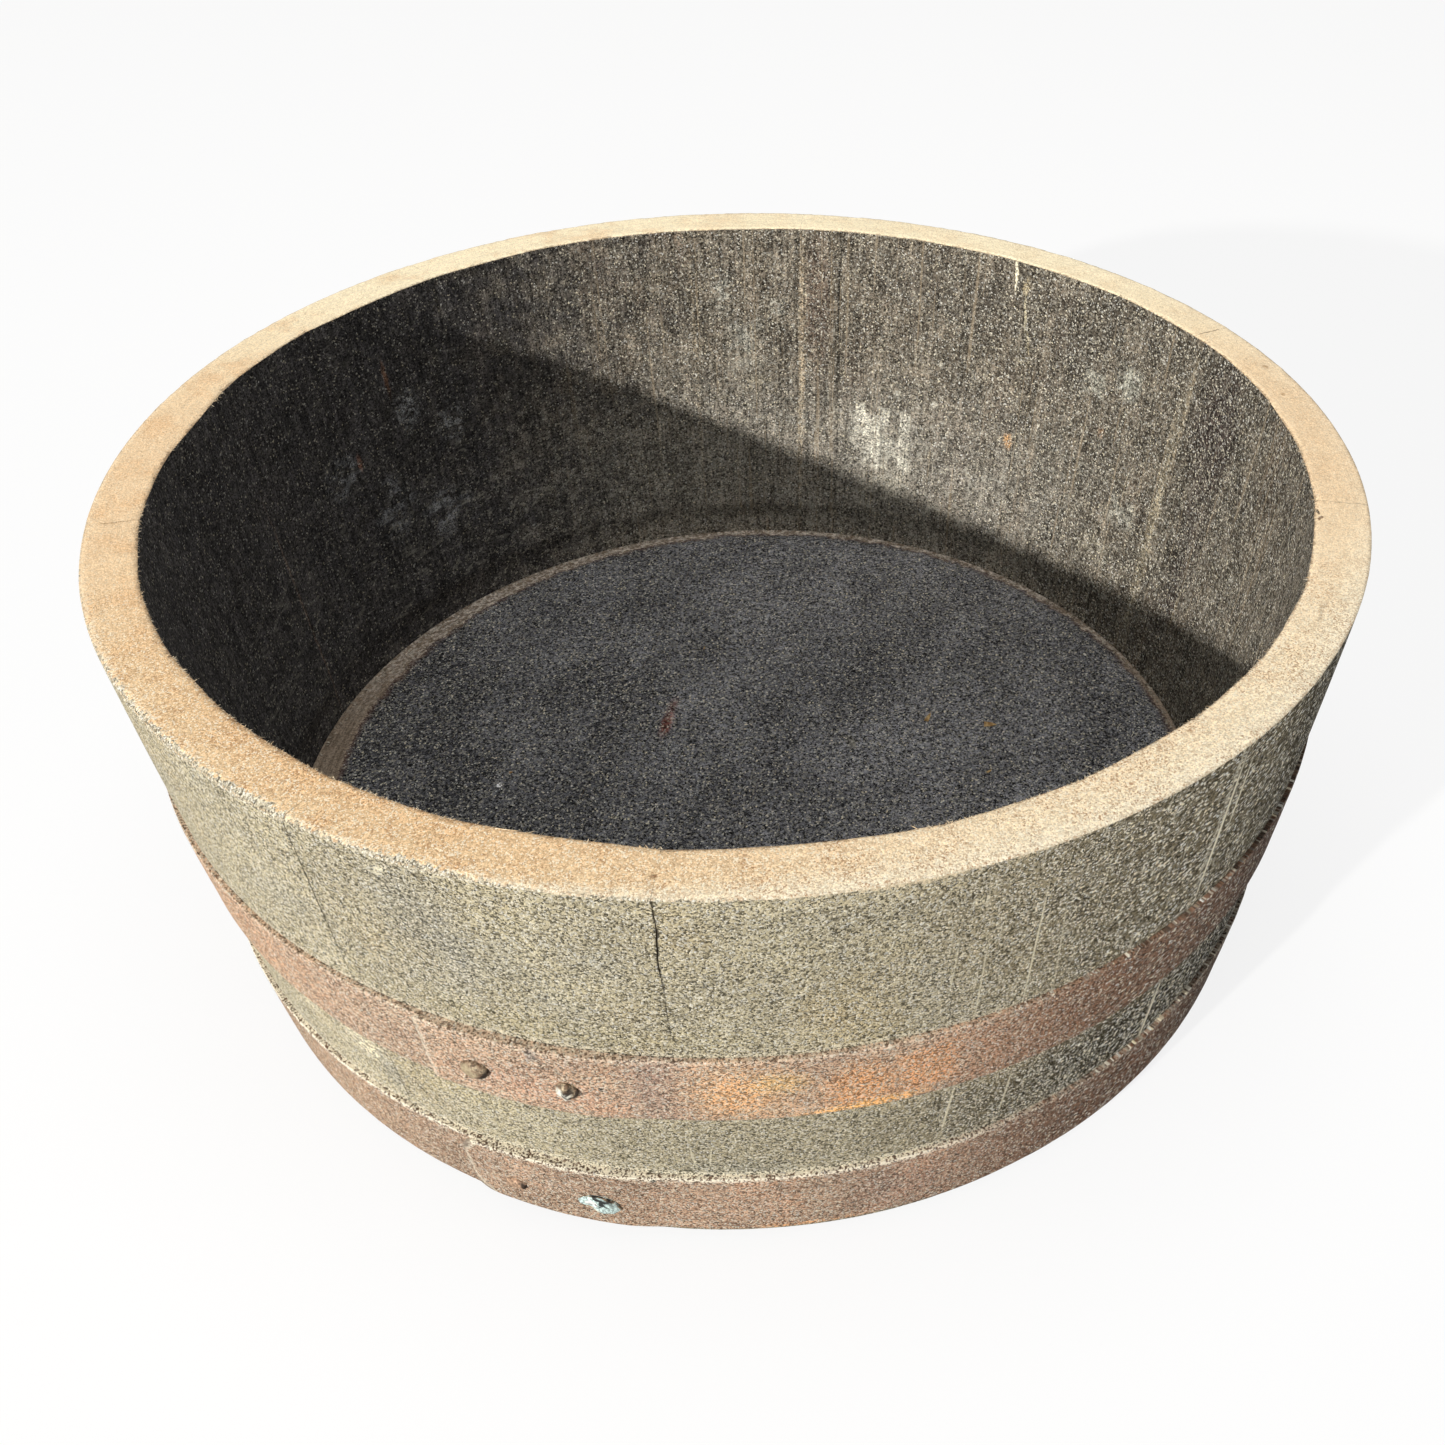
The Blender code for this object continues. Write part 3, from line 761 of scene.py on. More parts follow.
@dataclass(frozen=True)
class CharredOak(Finish):
    """The staves' inside: charred, with crumbs of ash and pale scrapes."""

    name: str = "charred_oak"
    black: Colour = seen(84, 77, 68)
    dark: Colour = seen(106, 98, 86)
    light: Colour = seen(128, 118, 103)
    brown: Colour = seen(118, 100, 84)
    # Soot and shade: near-black painted shade for the left inner wall, which lies in shadow.
    soot_and_shade: Colour = seen(61, 60, 62)
    # Ash and bounce light: grey that lightens the shaded low zone at the back, partly ash, partly painted bounce
    # light.
    ash_and_bounce_light: Colour = seen(124, 121, 114)
    ash: Colour = seen(196, 192, 178)
    bare: Colour = seen(186, 166, 136)
    gap: Colour = seen(22, 20, 18)
    sawn: Colour = seen(216, 190, 148)
    marks: tuple[Mark, ...] = ()

    def lay_out(self, bench: Bench) -> None:
        """Lays out the char, with painted shade on the left and painted bounce light low at the back, and crumbs,
        streaks, crackle, marks, seams and the sawn upper edge.

        Args:
            bench: Where the nodes go.
        """
        grain, wall, place = bench.fact("grain"), bench.fact("unrolled"), bench.place()
        height = wall.y
        blotch = place.noise(0.017, 4, 0.65)
        colour = blotch.shades((0.32, self.black), (0.50, self.dark), (0.68, self.light))
        brown = place.stretch(1.0, 1.0, 0.25).noise(0.034, 3).ease(0.52, 0.72, 0.0, 0.3)
        # The shaded low zone at the back is lightened: partly ash, partly painted bounce light.
        back = place.y.ease(0.12, 0.24) * height.ease(0.19, 0.09)
        colour = colour.coat(self.brown, brown).coat(self.ash_and_bounce_light, back * 0.45)
        # Painted shade: the left inner wall, in shadow, turns near black and its flecks and hairs fainter.
        shaded_left = (place.x + blotch.sway(0.03)).ease(-0.02, -0.20)
        colour = colour.coat(self.soot_and_shade, shaded_left * 0.9).marks(wall, self.marks)
        right = place.x.ease(0.08, 0.28, 1.03, 0.68)
        grit = place.grains(0.00085)
        crumb = place.stretch(1.0, 1.0, 0.7).noise(0.0050, 4, 0.7)
        streak = grain.stretch(1.0, 1.0, 0.035).noise(0.0024, 4, 0.7)
        patches = place.stretch(1.0, 1.0, 0.6).noise(0.012, 3, 0.6)
        tone = grit.level.between(0.20, 1.56) * crumb.ease(0.36, 0.66, 0.74, 1.28)
        tone = tone * streak.ease(0.32, 0.68, 0.58, 1.42) * patches.ease(0.34, 0.66, 0.78, 1.24)
        # The back share raises the tone there: painted bounce light.
        colour = colour.lit(tone * right * back.between(1.0, 1.18) * bench.fact("sides").z)
        colour = colour.flecks(grit, 0.10, shaded_left.between(0.48, 0.06), 0.60)
        colour = colour.flecks(grit, 0.036, shaded_left.between(0.80, 0.48))
        hair = grain.stretch(1.0, 1.0, 0.018).noise(0.0026, 2, 0.55, 0.3)
        colour = colour.coat(self.bare, hair.ease(0.63, 0.69) * shaded_left.between(0.30, 0.0))
        bands = place.stretch(0.22, 0.22, 1.0).noise(0.0026, 2, 0.5, 0.4)
        zone = place.noise(0.022, 3).ease(0.42, 0.60) * height.ease(0.21, 0.10)
        colour = colour.coat(self.ash, bands.ease(0.55, 0.70, 0.0, 0.22) * zone)
        colour = colour.coat(self.ash, self.scales(bench, place, back))
        colour = colour.coat(self.bare, bench.seams("pale_seams", 0.0006, 0.0026))
        colour = colour.coat(self.gap, bench.seams("dark_seams", 0.0006, 0.0022))
        upper = height + place.noise(0.0018, 3, 0.7).ease(0.40, 0.75, 0.0, 0.0022)
        colour = colour.coat(self.sawn, upper.ease(TUB.height + 0.0004, TUB.height + 0.0012))
        bench.finish(colour, 0.95, 0.08)
        bench.relief((crumb, 0.0009), (grit.rise, 0.00040))

    def scales(self, bench: Bench, place: Value, back: Value) -> Value:
        """Pale edges of the char's scales, mostly low at the back.

        Args:
            bench: Where the nodes go.
            place: Place on the stave.
            back: Share of the low zone at the back.

        Returns:
            Share of the pale edges.
        """
        wobble = place.noise(0.004, 3, 0.6).ease(0.25, 0.75, -0.002, 0.002)
        swayed = place.stretch(0.6, 0.6, 1.0).moved(wobble)
        cells = bench.node("TexVoronoi", {"Vector": swayed, "Scale": 1 / 0.0070}, feature="DISTANCE_TO_EDGE")
        kept = place.noise(0.0060, 3, 0.6).ease(0.50, 0.58)
        return cells.ease(0.075, 0.030) * kept * (back * 0.42 + 0.10)


@dataclass(frozen=True)
class CutOak(Finish):
    """Cut faces under the char: croze, howel, chime and the sides of the joints, darker near the outside."""

    name: str = "cut_oak"
    light: Colour = seen(150, 128, 102)
    dark: Colour = seen(112, 92, 70)
    dark_brown: Colour = seen(42, 36, 30)

    def lay_out(self, bench: Bench) -> None:
        """Lays out plain oak with fine fibres and dirt.

        Args:
            bench: Where the nodes go.
        """
        place = bench.place()
        colour = bench.mix(place.noise(0.02, 4, 0.6).ease(0.3, 0.7), self.light, self.dark)
        fibre = place.stretch(1.0, 1.0, 0.15).noise(0.0014, 3, 0.6)
        colour = colour.coat(self.dark_brown, fibre.ease(0.45, 0.75, 0.0, 0.5))
        # Darker towards the outside of the stave.
        colour = colour.coat(self.dark_brown, bench.fact("unrolled").z.ease(0.014, 0.004, 0.0, 0.9))
        bench.finish(colour, 0.9, 0.1)
        bench.relief((fibre, 0.0004))


@dataclass(frozen=True)
class CharredHead(Finish):
    """The head's upper face: crumbly black char, with a pale ring where its bevel was cut."""

    name: str = "charred_head"
    black: Colour = seen(80, 80, 83)
    grey: Colour = seen(118, 118, 121)
    scorch: Colour = seen(104, 78, 66)
    bevel: Colour = seen(164, 147, 128)
    bevel_dark: Colour = seen(128, 112, 95)
    crumbs: Colour = seen(222, 212, 198)
    ring_centre: tuple[float, float] = (0.0070, 0.0070)
    ring_radius: float = 0.2546
    marks: tuple[Mark, ...] = ()

    def lay_out(self, bench: Bench) -> None:
        """Lays out char, painted shade on its left part, crumbs, streaks along the boards, marks and the pale ring.

        Args:
            bench: Where the nodes go.
        """
        place = bench.place()
        along = bench.turned(place, -GRAIN_ANGLE)
        blotch = along.stretch(1.0, 0.6, 1.0).noise(0.040, 4, 0.6)
        # Painted shade: the char turns darker and less grey towards the left, where the wall shades the head.
        side = place.x.ease(-0.22, 0.10, -0.26, 0.08)
        colour = bench.mix(bench.math("ADD", blotch.ease(0.30, 0.72), side, clamp=True), self.black, self.grey)
        colour = colour.marks(place, self.marks)
        grit = place.grains(0.0009)
        lump = place.noise(0.0042, 4, 0.68)
        streak = along.stretch(1.0, 0.08, 1.0).noise(0.0060, 3, 0.6)
        tone = grit.level.between(0.06, 1.82) * lump.ease(0.34, 0.66, 0.56, 1.46)
        # The last factor is painted shade on the left.
        tone = tone * streak.ease(0.3, 0.7, 0.94, 1.06) * place.x.ease(-0.22, -0.02, 0.80, 1.0)
        colour = colour.lit(tone).flecks(grit, 0.050, 0.85, 0.36)
        bench.finish(self.lay_ring(bench, colour, place, grit.level), 0.92, 0.10)
        bench.relief((lump, 0.0022), (grit.rise, 0.0004))

    def lay_ring(self, bench: Bench, colour: Value, place: Value, level: Value) -> Value:
        """Lays the pale cut ring and its scorched fringe.

        Args:
            bench: Where the nodes go.
            colour: The char's colour.
            place: Place on the head.
            level: Random level of each grain.

        Returns:
            The colour with the ring.
        """
        offset = place.stretch(1.0, 1.0, 0.0).moved((*self.ring_centre, 0.0), "SUBTRACT")
        distance = offset.distance()
        back = place.y.ease(0.0, 0.20)
        sway = place.noise(0.009, 4, 0.7).ease(0.25, 0.75, -1.0, 1.0) * back.between(0.0012, 0.0034)
        radius = distance + sway + back * 0.0040 + level.between(-0.0008, 0.0008)
        colour = colour.coat(self.scorch, radius.ease(self.ring_radius - 0.005, self.ring_radius, 0.0, 0.60))
        turn = bench.math("ARCTAN2", offset.x, offset.y) * 0.020
        lines = bench.node("CombineXYZ", {0: distance, 1: turn}).noise(0.0016, 3, 0.6)
        pale = bench.mix(lines.ease(0.35, 0.65), self.bevel, self.bevel_dark).lit(level.between(0.66, 1.34))
        crumbly = bench.mix(place.noise(0.0034, 3, 0.7).ease(0.42, 0.62), self.bevel_dark, self.crumbs)
        pale = pale.coat(crumbly.lit(level.between(0.7, 1.5)), back.between(0.0, 0.8))
        return colour.coat(pale, radius.ease(self.ring_radius - 0.0008, self.ring_radius + 0.0010))


@dataclass(frozen=True)
class RustedSteel(Finish):
    """A hoop: rusted all over, patchy and pitted, with dust on its upper edge."""

    name: str = "rusted_steel"
    width: float = 0.0493
    dark: Colour = seen(162, 135, 114)
    brown: Colour = seen(174, 146, 122)
    light: Colour = seen(185, 158, 133)
    salmon: Colour = seen(198, 152, 120)
    red: Colour = seen(176, 120, 90)
    dust: Colour = seen(246, 238, 216)
    edge: Colour = seen(84, 66, 54)
    dustiness: float = 0.2
    marks: tuple[Mark, ...] = ()

    def lay_out(self, bench: Bench) -> None:
        """Lays out rust tones, marks, grit, pits, dust and edges, with painted shade on the right side and on the
        left.

        Args:
            bench: Where the nodes go.
        """
        strip, wall, place = bench.fact("strip"), bench.fact("unrolled"), bench.place()
        blotch = strip.stretch(0.6, 1.0, 0.0).noise(0.024, 4, 0.6)
        colour = blotch.shades((0.30, self.dark), (0.50, self.brown), (0.70, self.light))
        salmon = strip.stretch(1.0, 1.0, 0.0).noise(0.040, 4, 0.6).ease(0.50, 0.72, 0.0, 0.6)
        colour = colour.coat(self.salmon, salmon).marks(wall, self.marks)
        fine = place.grains(FINE_GRIT)
        grit = bench.spread_grains(fine, place, wall)
        pit = place.noise(0.0026, 3, 0.65)
        right, far = bench.shaded_right_side(wall, 0.02)
        # Painted shade: the visible right side is tinted redder and darkened, fading out towards the back; the left
        # side is painted a little darker.
        colour = colour.coat(self.red, right * 0.5)
        tone = grit.level.between(0.31, 1.59) * pit.ease(0.30, 0.68, 0.88, 1.08) * right.between(1.0, 0.43)
        colour = colour.lit(tone * far.between(1.0, 0.38) * wall.x.ease(1.45, 1.65, 1.0, 0.92))
        # Flecks are paler on the right: partly pale grit, partly painted glints in grazing light.
        share = right.between(0.10, 0.12) * far.between(1.0, 0.50)
        colour = colour.flecks(grit, share, right.between(0.60, 0.85), right.between(0.65, 0.30))
        ragged = place.noise(0.0030, 3, 0.65).sway(0.0010)
        up, end = strip.y + ragged, strip.z + ragged
        colour = colour.coat(self.edge, up.ease(0.0010, 0.0, 0.0, 0.4))
        colour = colour.coat(self.dust, end.ease(0.0034, 0.0022, 0.0, 0.35))
        colour = colour.coat(self.edge, end.ease(0.0012, 0.0005, 0.0, 0.60))
        front = wall.x.ease(0.17, 0.05, 0.25, 1.0).highest(wall.x.ease(*LEFT_BEGINS))
        dusty = up.ease(self.width - 0.0034, self.width - 0.0008, 0.0, self.dustiness) * front
        colour = colour.coat(self.dust, fine.level.ease(0.32, 0.50) * dusty)
        bench.finish(colour, 0.82, 0.18)
        bench.relief((pit, 0.0005), (grit.rise * right.between(0.4, 1.0), 0.0005))


@dataclass(frozen=True)
class RivetSteel(Finish):
    """A rivet's head: worn steel, rusted in its hollows."""

    name: str = "rivet_steel"
    worn: Colour = seen(170, 154, 128)
    rust: Colour = seen(120, 98, 78)
    # Bright colour, share and facing paint a highlight on the side that faces one way.
    bright: Colour = seen(150, 132, 108)
    highlight_share: float = 0.0
    highlight_facing: tuple[float, float, float] = (-0.5, -0.8, 0.1)
    marks: tuple[Mark, ...] = ()

    def lay_out(self, bench: Bench) -> None:
        """Lays out rust and wear, with a painted highlight on the sides that face one way and the marks, among them
        painted highlights and shadows, where there are some.

        Args:
            bench: Where the nodes go.
        """
        place = bench.place()
        patch = place.noise(0.0030, 4, 0.65)
        grit = place.grains(0.0008)
        colour = bench.mix(patch.ease(0.40, 0.60), self.worn, self.rust)
        # Painted highlight: sides that face the given way are painted bright.
        if self.highlight_share > 0:
            inputs = {0: bench.node("NewGeometry", {}, "Normal"), 1: tuple(Vector(self.highlight_facing).normalized())}
            highlight_facing = bench.node("VectorMath", inputs, "Value", operation="DOT_PRODUCT")
            side = highlight_facing + patch.sway(0.12)
            edge = 1.0 - self.highlight_share
            colour = colour.coat(self.bright, side.ease(edge, edge + 0.04))
        colour = colour.lit(grit.level.between(0.55, 1.35))
        colour = colour.marks(bench.fact("unrolled"), self.marks)
        bench.finish(colour, 0.6, 0.3, 0.15)
        bench.relief((patch, 0.0004), (grit.rise, 0.00015))


@dataclass(frozen=True)
class LooseOak(Finish):
    """Torn fibres, shavings and chips of fresh oak."""

    name: str = "loose_oak"
    light: Colour = seen(238, 226, 200)
    dark: Colour = seen(214, 184, 142)

    def lay_out(self, bench: Bench) -> None:
        """Lays out pale fibres that differ from one to the next.

        Args:
            bench: Where the nodes go.
        """
        place = bench.place()
        colour = bench.mix(place.noise(0.0030, 3, 0.6).ease(0.3, 0.7), self.light, self.dark)
        fine = place.noise(0.0010, 2, 0.6)
        bench.finish(colour.lit(fine.ease(0.3, 0.7, 0.84, 1.06)), 0.85, 0.15)
        bench.relief((fine, 0.0001))


@dataclass(frozen=True)
class DowelOak(Finish):
    """The dowels inside the head: plain turned oak."""

    name: str = "dowel_oak"
    light: Colour = seen(206, 170, 124)
    dark: Colour = seen(160, 122, 82)

    def lay_out(self, bench: Bench) -> None:
        """Lays out straight grain along the dowels.

        Args:
            bench: Where the nodes go.
        """
        along = bench.turned(bench.place(), -GRAIN_ANGLE)
        fibre = along.stretch(0.06, 1.0, 1.0).noise(0.0012, 3, 0.6)
        bench.finish(bench.mix(fibre.ease(0.3, 0.7), self.light, self.dark), 0.75, 0.3)
        bench.relief((fibre, 0.0002))


# Meshes


@dataclass
class Piece:
    """A finished mesh piece, before it becomes an object."""

    name: str
    points: np.ndarray
    faces: list[tuple[int, ...]]
    finishes: tuple[Finish, ...]
    zones: np.ndarray | None = None
    facts: dict[str, np.ndarray] = field(default_factory=dict)
    slot: str = "stave_oak"
    stands_for: tuple[str, ...] = ()
    sharp_angle: float = 40.0

    def add(self) -> None:
        """Makes the object, dresses it and ties it to the frame."""
        mesh = bpy.data.meshes.new(self.name)
        mesh.from_pydata(self.points.reshape(-1, 3).tolist(), [], self.faces)
        for finish in self.finishes:
            mesh.materials.append(material_of(finish))
        if self.zones is not None:
            mesh.polygons.foreach_set("material_index", self.zones.astype(np.int32))
        for name, values in self.facts.items():
            layer = mesh.attributes.new(name=name, type="FLOAT_VECTOR", domain="POINT")
            layer.data.foreach_set("vector", np.ascontiguousarray(values, dtype=np.float32).ravel())
        self.tidy(mesh)
        obj = bpy.data.objects.new(self.name, mesh)
        bpy.context.scene.collection.objects.link(obj)
        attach(obj, BODY)
        if self.stands_for:
            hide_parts(*self.stands_for)
        log.info("%s: %d faces", self.name, len(mesh.polygons))

    def tidy(self, mesh: bpy.types.Mesh) -> None:
        """Joins points that coincide, cuts large faces into triangles and shades the mesh.

        Args:
            mesh: The mesh.
        """
        bm = bmesh.new()
        bm.from_mesh(mesh)
        bmesh.ops.remove_doubles(bm, verts=bm.verts, dist=1e-6)
        bmesh.ops.dissolve_degenerate(bm, edges=bm.edges, dist=1e-7)
        large = [face for face in bm.faces if len(face.verts) > 4]
        if large:
            bmesh.ops.triangulate(bm, faces=large, ngon_method="EAR_CLIP")
        bmesh.ops.recalc_face_normals(bm, faces=bm.faces)
        bm.to_mesh(mesh)
        bm.free()
        mesh.shade_smooth()
        mesh.set_sharp_from_angle(angle=math.radians(self.sharp_angle))


def tube_faces(columns: int, rows: int) -> list[tuple[int, ...]]:
    """Faces of a closed tube of rings, with a face over each end.

    Args:
        columns: Number of rings.
        rows: Points in a ring.

    Returns:
        The faces, ring by ring, and then the two ends.
    """
    faces: list[tuple[int, ...]] = []
    for start in range(0, (columns - 1) * rows, rows):
        for row in range(rows):
            after = (row + 1) % rows
            faces.append((start + row, start + after, start + rows + after, start + rows + row))
    last = (columns - 1) * rows
    return [*faces, tuple(range(rows)), tuple(range(last + rows - 1, last - 1, -1))]


def spaced(start: float, end: float, step: float) -> np.ndarray:
    """Even places from start to end, at most a step apart."""
    return np.linspace(start, end, max(1, math.ceil(abs(end - start) / step)) + 1)


# Staves


@dataclass(frozen=True)
class Seam:
    """How a joint looks, from 0, tight, to 1, open or plain to see; outside only from a lowest height up."""

    dark_outside: float = 0.05
    pale_outside: float = 0.0
    dark_inside: float = 0.06
    pale_inside: float = 0.0
    rim: float = 0.0
    lowest: float = 0.0


@dataclass
class StaveGrid:
    """The points of one stave, before its wear."""

    index: int
    start: float
    end: float
    thickness: float
    place: np.ndarray
    depth: np.ndarray
    height: np.ndarray

    @property
    def width(self) -> float:
        """Width at the rim."""
        return (self.end - self.start) * TUB.rim_radius

    @property
    def angle(self) -> np.ndarray:
        """Angles of the points."""
        return self.start + self.place / TUB.rim_radius

    @property
    def spots(self) -> np.ndarray:
        """Places in the tub, for wear that runs on over the joints."""
        return around(self.angle, TUB.rim_radius - self.depth, self.height)

    def by_side(self, left: float, right: float) -> np.ndarray:
        """The left value in the left half, and the right one in the right half."""
        return np.where(self.place < self.width / 2, left, right)


@dataclass
class StaveWall:
    """The staves: their widths, joints, wear and finishes."""

    first_joint: float = -34.1
    width_shares: tuple[float, ...] = (
        57.5, 94, 118, 66.5, 68, 63, 72.5, 78.5, 58, 56,
        52, 30.5, 81.5, 52.5, 47.5, 68, 52.5, 30.5, 101, 36.5,
        63, 71, 106, 84.5, 72, 70.5, 66.5, 64, 64, 64,
    )  # fmt: skip
    thickness_shares: tuple[float, ...] = (
        1.06, 1.06, 1.00, 1.02, 1.03, 1.02, 1.02, 1.05, 1.03, 1.01,
        0.97, 0.95, 0.96, 0.99, 1.00, 0.99, 1.00, 1.02, 1.03, 1.03,
        0.98, 1.03, 1.03, 0.97, 1.05, 0.99, 0.98, 0.99, 1.04, 1.05,
    )  # fmt: skip
    tones: dict[int, float] = field(default_factory=lambda: {17: 0.90, 11: 0.94})
    fresh_angles: tuple[float, ...] = (
        -70, -62, -55, -49, -42.4, -37.2, -34.3, -33.9, -28, -24.5, -23.6, -20.5, -17, -13.6, -10, -7.2, -6.8,
        -4, 0, 2.6, 5.9, 9.2, 12.6, 16.2, 19.9, 24, 30, 60, 90, 110,
    )  # fmt: skip
    fresh_limits: tuple[float, ...] = (
        0.0, -0.5, -2.5, -3.2, -2.6, -4.6, -3.5, -1.5, -1.2, -4.2, -3.4, -2.2, -1.0, 0.0, -0.8, -0.6, 0.0,
        -0.8, 0.2, 1.4, 1.0, 2.6, 2.6, 0.8, 1.5, 1.0, 0.8, 0.8, 0.4, 0.0,
    )  # fmt: skip
    inner_flat_share: float = 0.4
    step: float = 0.0027
    rim_step: float = 0.0014
    corner: float = 0.0007
    rim_start: float = 0.0009
    crack_joint: int = 2
    crack_end: float = 0.172
    crack_half: float = 0.00023
    crack_wander: float = 0.00120
    joint_wander: float = 0.00010
    joint_gape: float = 0.00012
    least_gape: float = 0.00002
    blend_reach: float = 0.022
    outside_worn: float = 0.00004
    swell: float = 0.00018
    furrow: float = 0.00007
    corner_worn: float = 0.0003
    char_lump: float = 0.00040
    char_crumb: float = 0.00022
    char_corner: float = 0.0007
    saw_depth: float = 0.00026
    saw_mark: float = 0.00014
    saw_wave: float = 0.00010
    torn_depth: float = 0.0007
    rim_shift: float = 0.0006
    deepest_wear: float = 0.0042
    seams: dict[int, Seam] = field(default_factory=dict)
    outside: WeatheredOak = WeatheredOak()
    rim: SawnOak = SawnOak()
    inside: CharredOak = CharredOak()
    cut: CutOak = CutOak()
    relief: Unevenness = field(default_factory=lambda: Unevenness(41))

    def joints(self) -> np.ndarray:
        """Angles of the joints, in radians, from the first stave's start to the last one's end."""
        widths = np.array(self.width_shares) / sum(self.width_shares) * math.tau
        return math.radians(self.first_joint) + np.concatenate([[0.0], np.cumsum(widths)])

    def section(self, thickness: float) -> tuple[np.ndarray, np.ndarray, np.ndarray]:
        """Closed section of a stave, up its outside, over the rim and down its inside.

        Args:
            thickness: The stave's thickness.

        Returns:
            Depths inwards from the outside, heights, and the zone from each point to the next.
        """
        top = TUB.height
        outside = spaced(TUB.chime_edge, top - self.rim_start, self.step)
        rim = spaced(self.corner, thickness - self.corner, self.rim_step)
        wall = spaced(top - self.rim_start, TUB.howel_top, self.step)
        howel = spaced(TUB.howel_top, TUB.croze_top, self.step)[1:]
        plain = TUB.stave_thickness - TUB.howel_depth
        blend = smooth_step(TUB.howel_flat_top, TUB.howel_top, howel)
        croze = [TUB.outer_radius(h) - TUB.croze_radius for h in (TUB.croze_top, TUB.croze_bottom)]
        under = [plain, plain, TUB.chime_edge + TUB.chime_flat, TUB.chime_edge]
        low = [TUB.croze_top, TUB.croze_bottom, TUB.croze_bottom, TUB.chime_bevel_height, 0.0, 0.0]
        howel_depths = plain + (thickness - plain) * blend
        depths = np.concatenate([0 * outside, rim, 0 * wall + thickness, howel_depths, croze, under])
        heights = np.concatenate([outside, 0 * rim + top, wall, howel, low])
        sizes = (len(outside), len(rim), len(wall) + len(howel) - 1, 1 + len(low))
        zones = np.concatenate([np.full(size, zone) for size, zone in zip(sizes, Zone)])
        zones[len(outside) - 1] = Zone.SAWN
        zones[-1] = Zone.OUTSIDE
        return depths, heights, zones

    def columns(self, width: float) -> np.ndarray:
        """Places across a stave, finer along its joints, from its width at the rim."""
        edge = np.array([0.0, 0.0004, 0.0011])
        return np.concatenate([edge, spaced(0.0026, width - 0.0026, self.step), width - edge[::-1]])

    def crack(self, heights: np.ndarray) -> np.ndarray:
        """Half of the opening of the long crack at the front.

        Args:
            heights: Heights above the ground.

        Returns:
            Distances from the joint to each side.
        """
        spots = vectors(heights, 0 * heights + 3.1, 0 * heights)
        ragged = np.clip(0.75 + 1.6 * self.relief.at(spots, 0.008, 4), 0.0, 2)
        taper = smooth_step(self.crack_end, self.crack_end + 0.05, heights)
        closing = smooth_step(TUB.height + 0.001, TUB.height - 0.006, heights)
        return self.crack_half * taper * ragged * (0.15 + 0.85 * closing)

    def build(self, index: int) -> Piece:
        """Builds one stave with its wear.

        Args:
            index: Which stave, from 0.

        Returns:
            The piece.
        """
        start, end = self.joints()[index : index + 2]
        shares = self.thickness_shares
        thickness = TUB.stave_thickness * shares[index]
        depths, heights, zones = self.section(thickness)
        across = self.columns((end - start) * TUB.rim_radius)
        place, depth = np.meshgrid(across, depths, indexing="ij")
        height = np.meshgrid(across, heights, indexing="ij")[1]
        beside = (index - 1, (index + 1) % len(shares))
        left, right = ((shares[index] + shares[i]) / 2 / shares[index] for i in beside)
        near_left = smooth_step(self.blend_reach, 0, place)
        near_right = smooth_step(self.blend_reach, 0, across[-1] - place)
        evened = 1 + (left - 1) * near_left + (right - 1) * near_right
        depth = depth * (1 + (evened - 1) * smooth_step(TUB.howel_flat_top, TUB.howel_top, height))
        grid = StaveGrid(index, start, end, thickness, place, depth, height)
        angle = self.open_joints(grid)
        radius, height = self.wear(grid, self.flatten(grid, angle))
        name = f"stave_{index + 1:02d}"
        return Piece(
            name=f"oak_{name}",
            points=around(angle, radius, height),
            faces=tube_faces(len(across), len(depths)),
            finishes=(self.outside, self.rim, self.inside, self.cut),
            zones=np.concatenate([np.tile(zones, len(across) - 1), [Zone.CUT, Zone.CUT]]),
            facts=self.facts(grid, angle),
            stands_for=(name,),
        )

    def fresh_limit(self, angle: np.ndarray) -> np.ndarray:
        """How far the fresh wood reaches down the outside, or less than 0, how far the old reaches inwards."""
        turned = np.degrees((angle + math.pi) % math.tau - math.pi)
        return np.interp(turned, self.fresh_angles, self.fresh_limits) * MM

    def seam(self, joint: int) -> Seam:
        """The look of a joint, counted from the first stave's start."""
        return self.seams.get(joint % len(self.width_shares), Seam())

    def open_joints(self, grid: StaveGrid) -> np.ndarray:
        """Shifts a stave's edges where its joints wander or gape.

        Args:
            grid: The stave's points.

        Returns:
            The shifted angles.
        """
        angle, none = grid.angle, 0 * grid.depth
        shallow = smooth_step(0.018, 0.002, grid.depth)
        sides = ((grid.index, grid.place, 1), (grid.index + 1, grid.width - grid.place, -1))
        for joint, distance, towards in sides:
            reach = smooth_step(0.006, 0.0, distance)
            spots = vectors(grid.height, none + 7.7 * (joint % len(self.width_shares)), none)
            wander = self.joint_wander * self.relief.at(spots, 0.03, 2)
            gape = self.least_gape + self.joint_gape * self.seam(joint).dark_outside * shallow
            if joint == self.crack_joint:
                upper = smooth_step(self.crack_end - 0.01, self.crack_end + 0.01, grid.height)
                wander += self.crack_wander * self.relief.at(spots, 0.020, 6) * upper
                gape = self.least_gape + self.crack(grid.height) * shallow
            angle = angle + (wander + towards * gape) * reach / TUB.rim_radius
        return angle

    def flatten(self, grid: StaveGrid, angle: np.ndarray) -> np.ndarray:
        """Distances from the tub's middle, with the inside drawn in towards the chord between the joints.

        Args:
            grid: The stave's points.
            angle: Their angles.

        Returns:
            The distances.
        """
        chord = math.cos((grid.end - grid.start) / 2) / np.cos(angle - (grid.start + grid.end) / 2)
        share = self.inner_flat_share * smooth_step(0.006, TUB.stave_thickness, grid.depth)
        share = share * smooth_step(TUB.howel_flat_top, TUB.howel_top, grid.height)
        return (TUB.outer_radius(grid.height) - grid.depth) * (1 + share * (chord - 1))

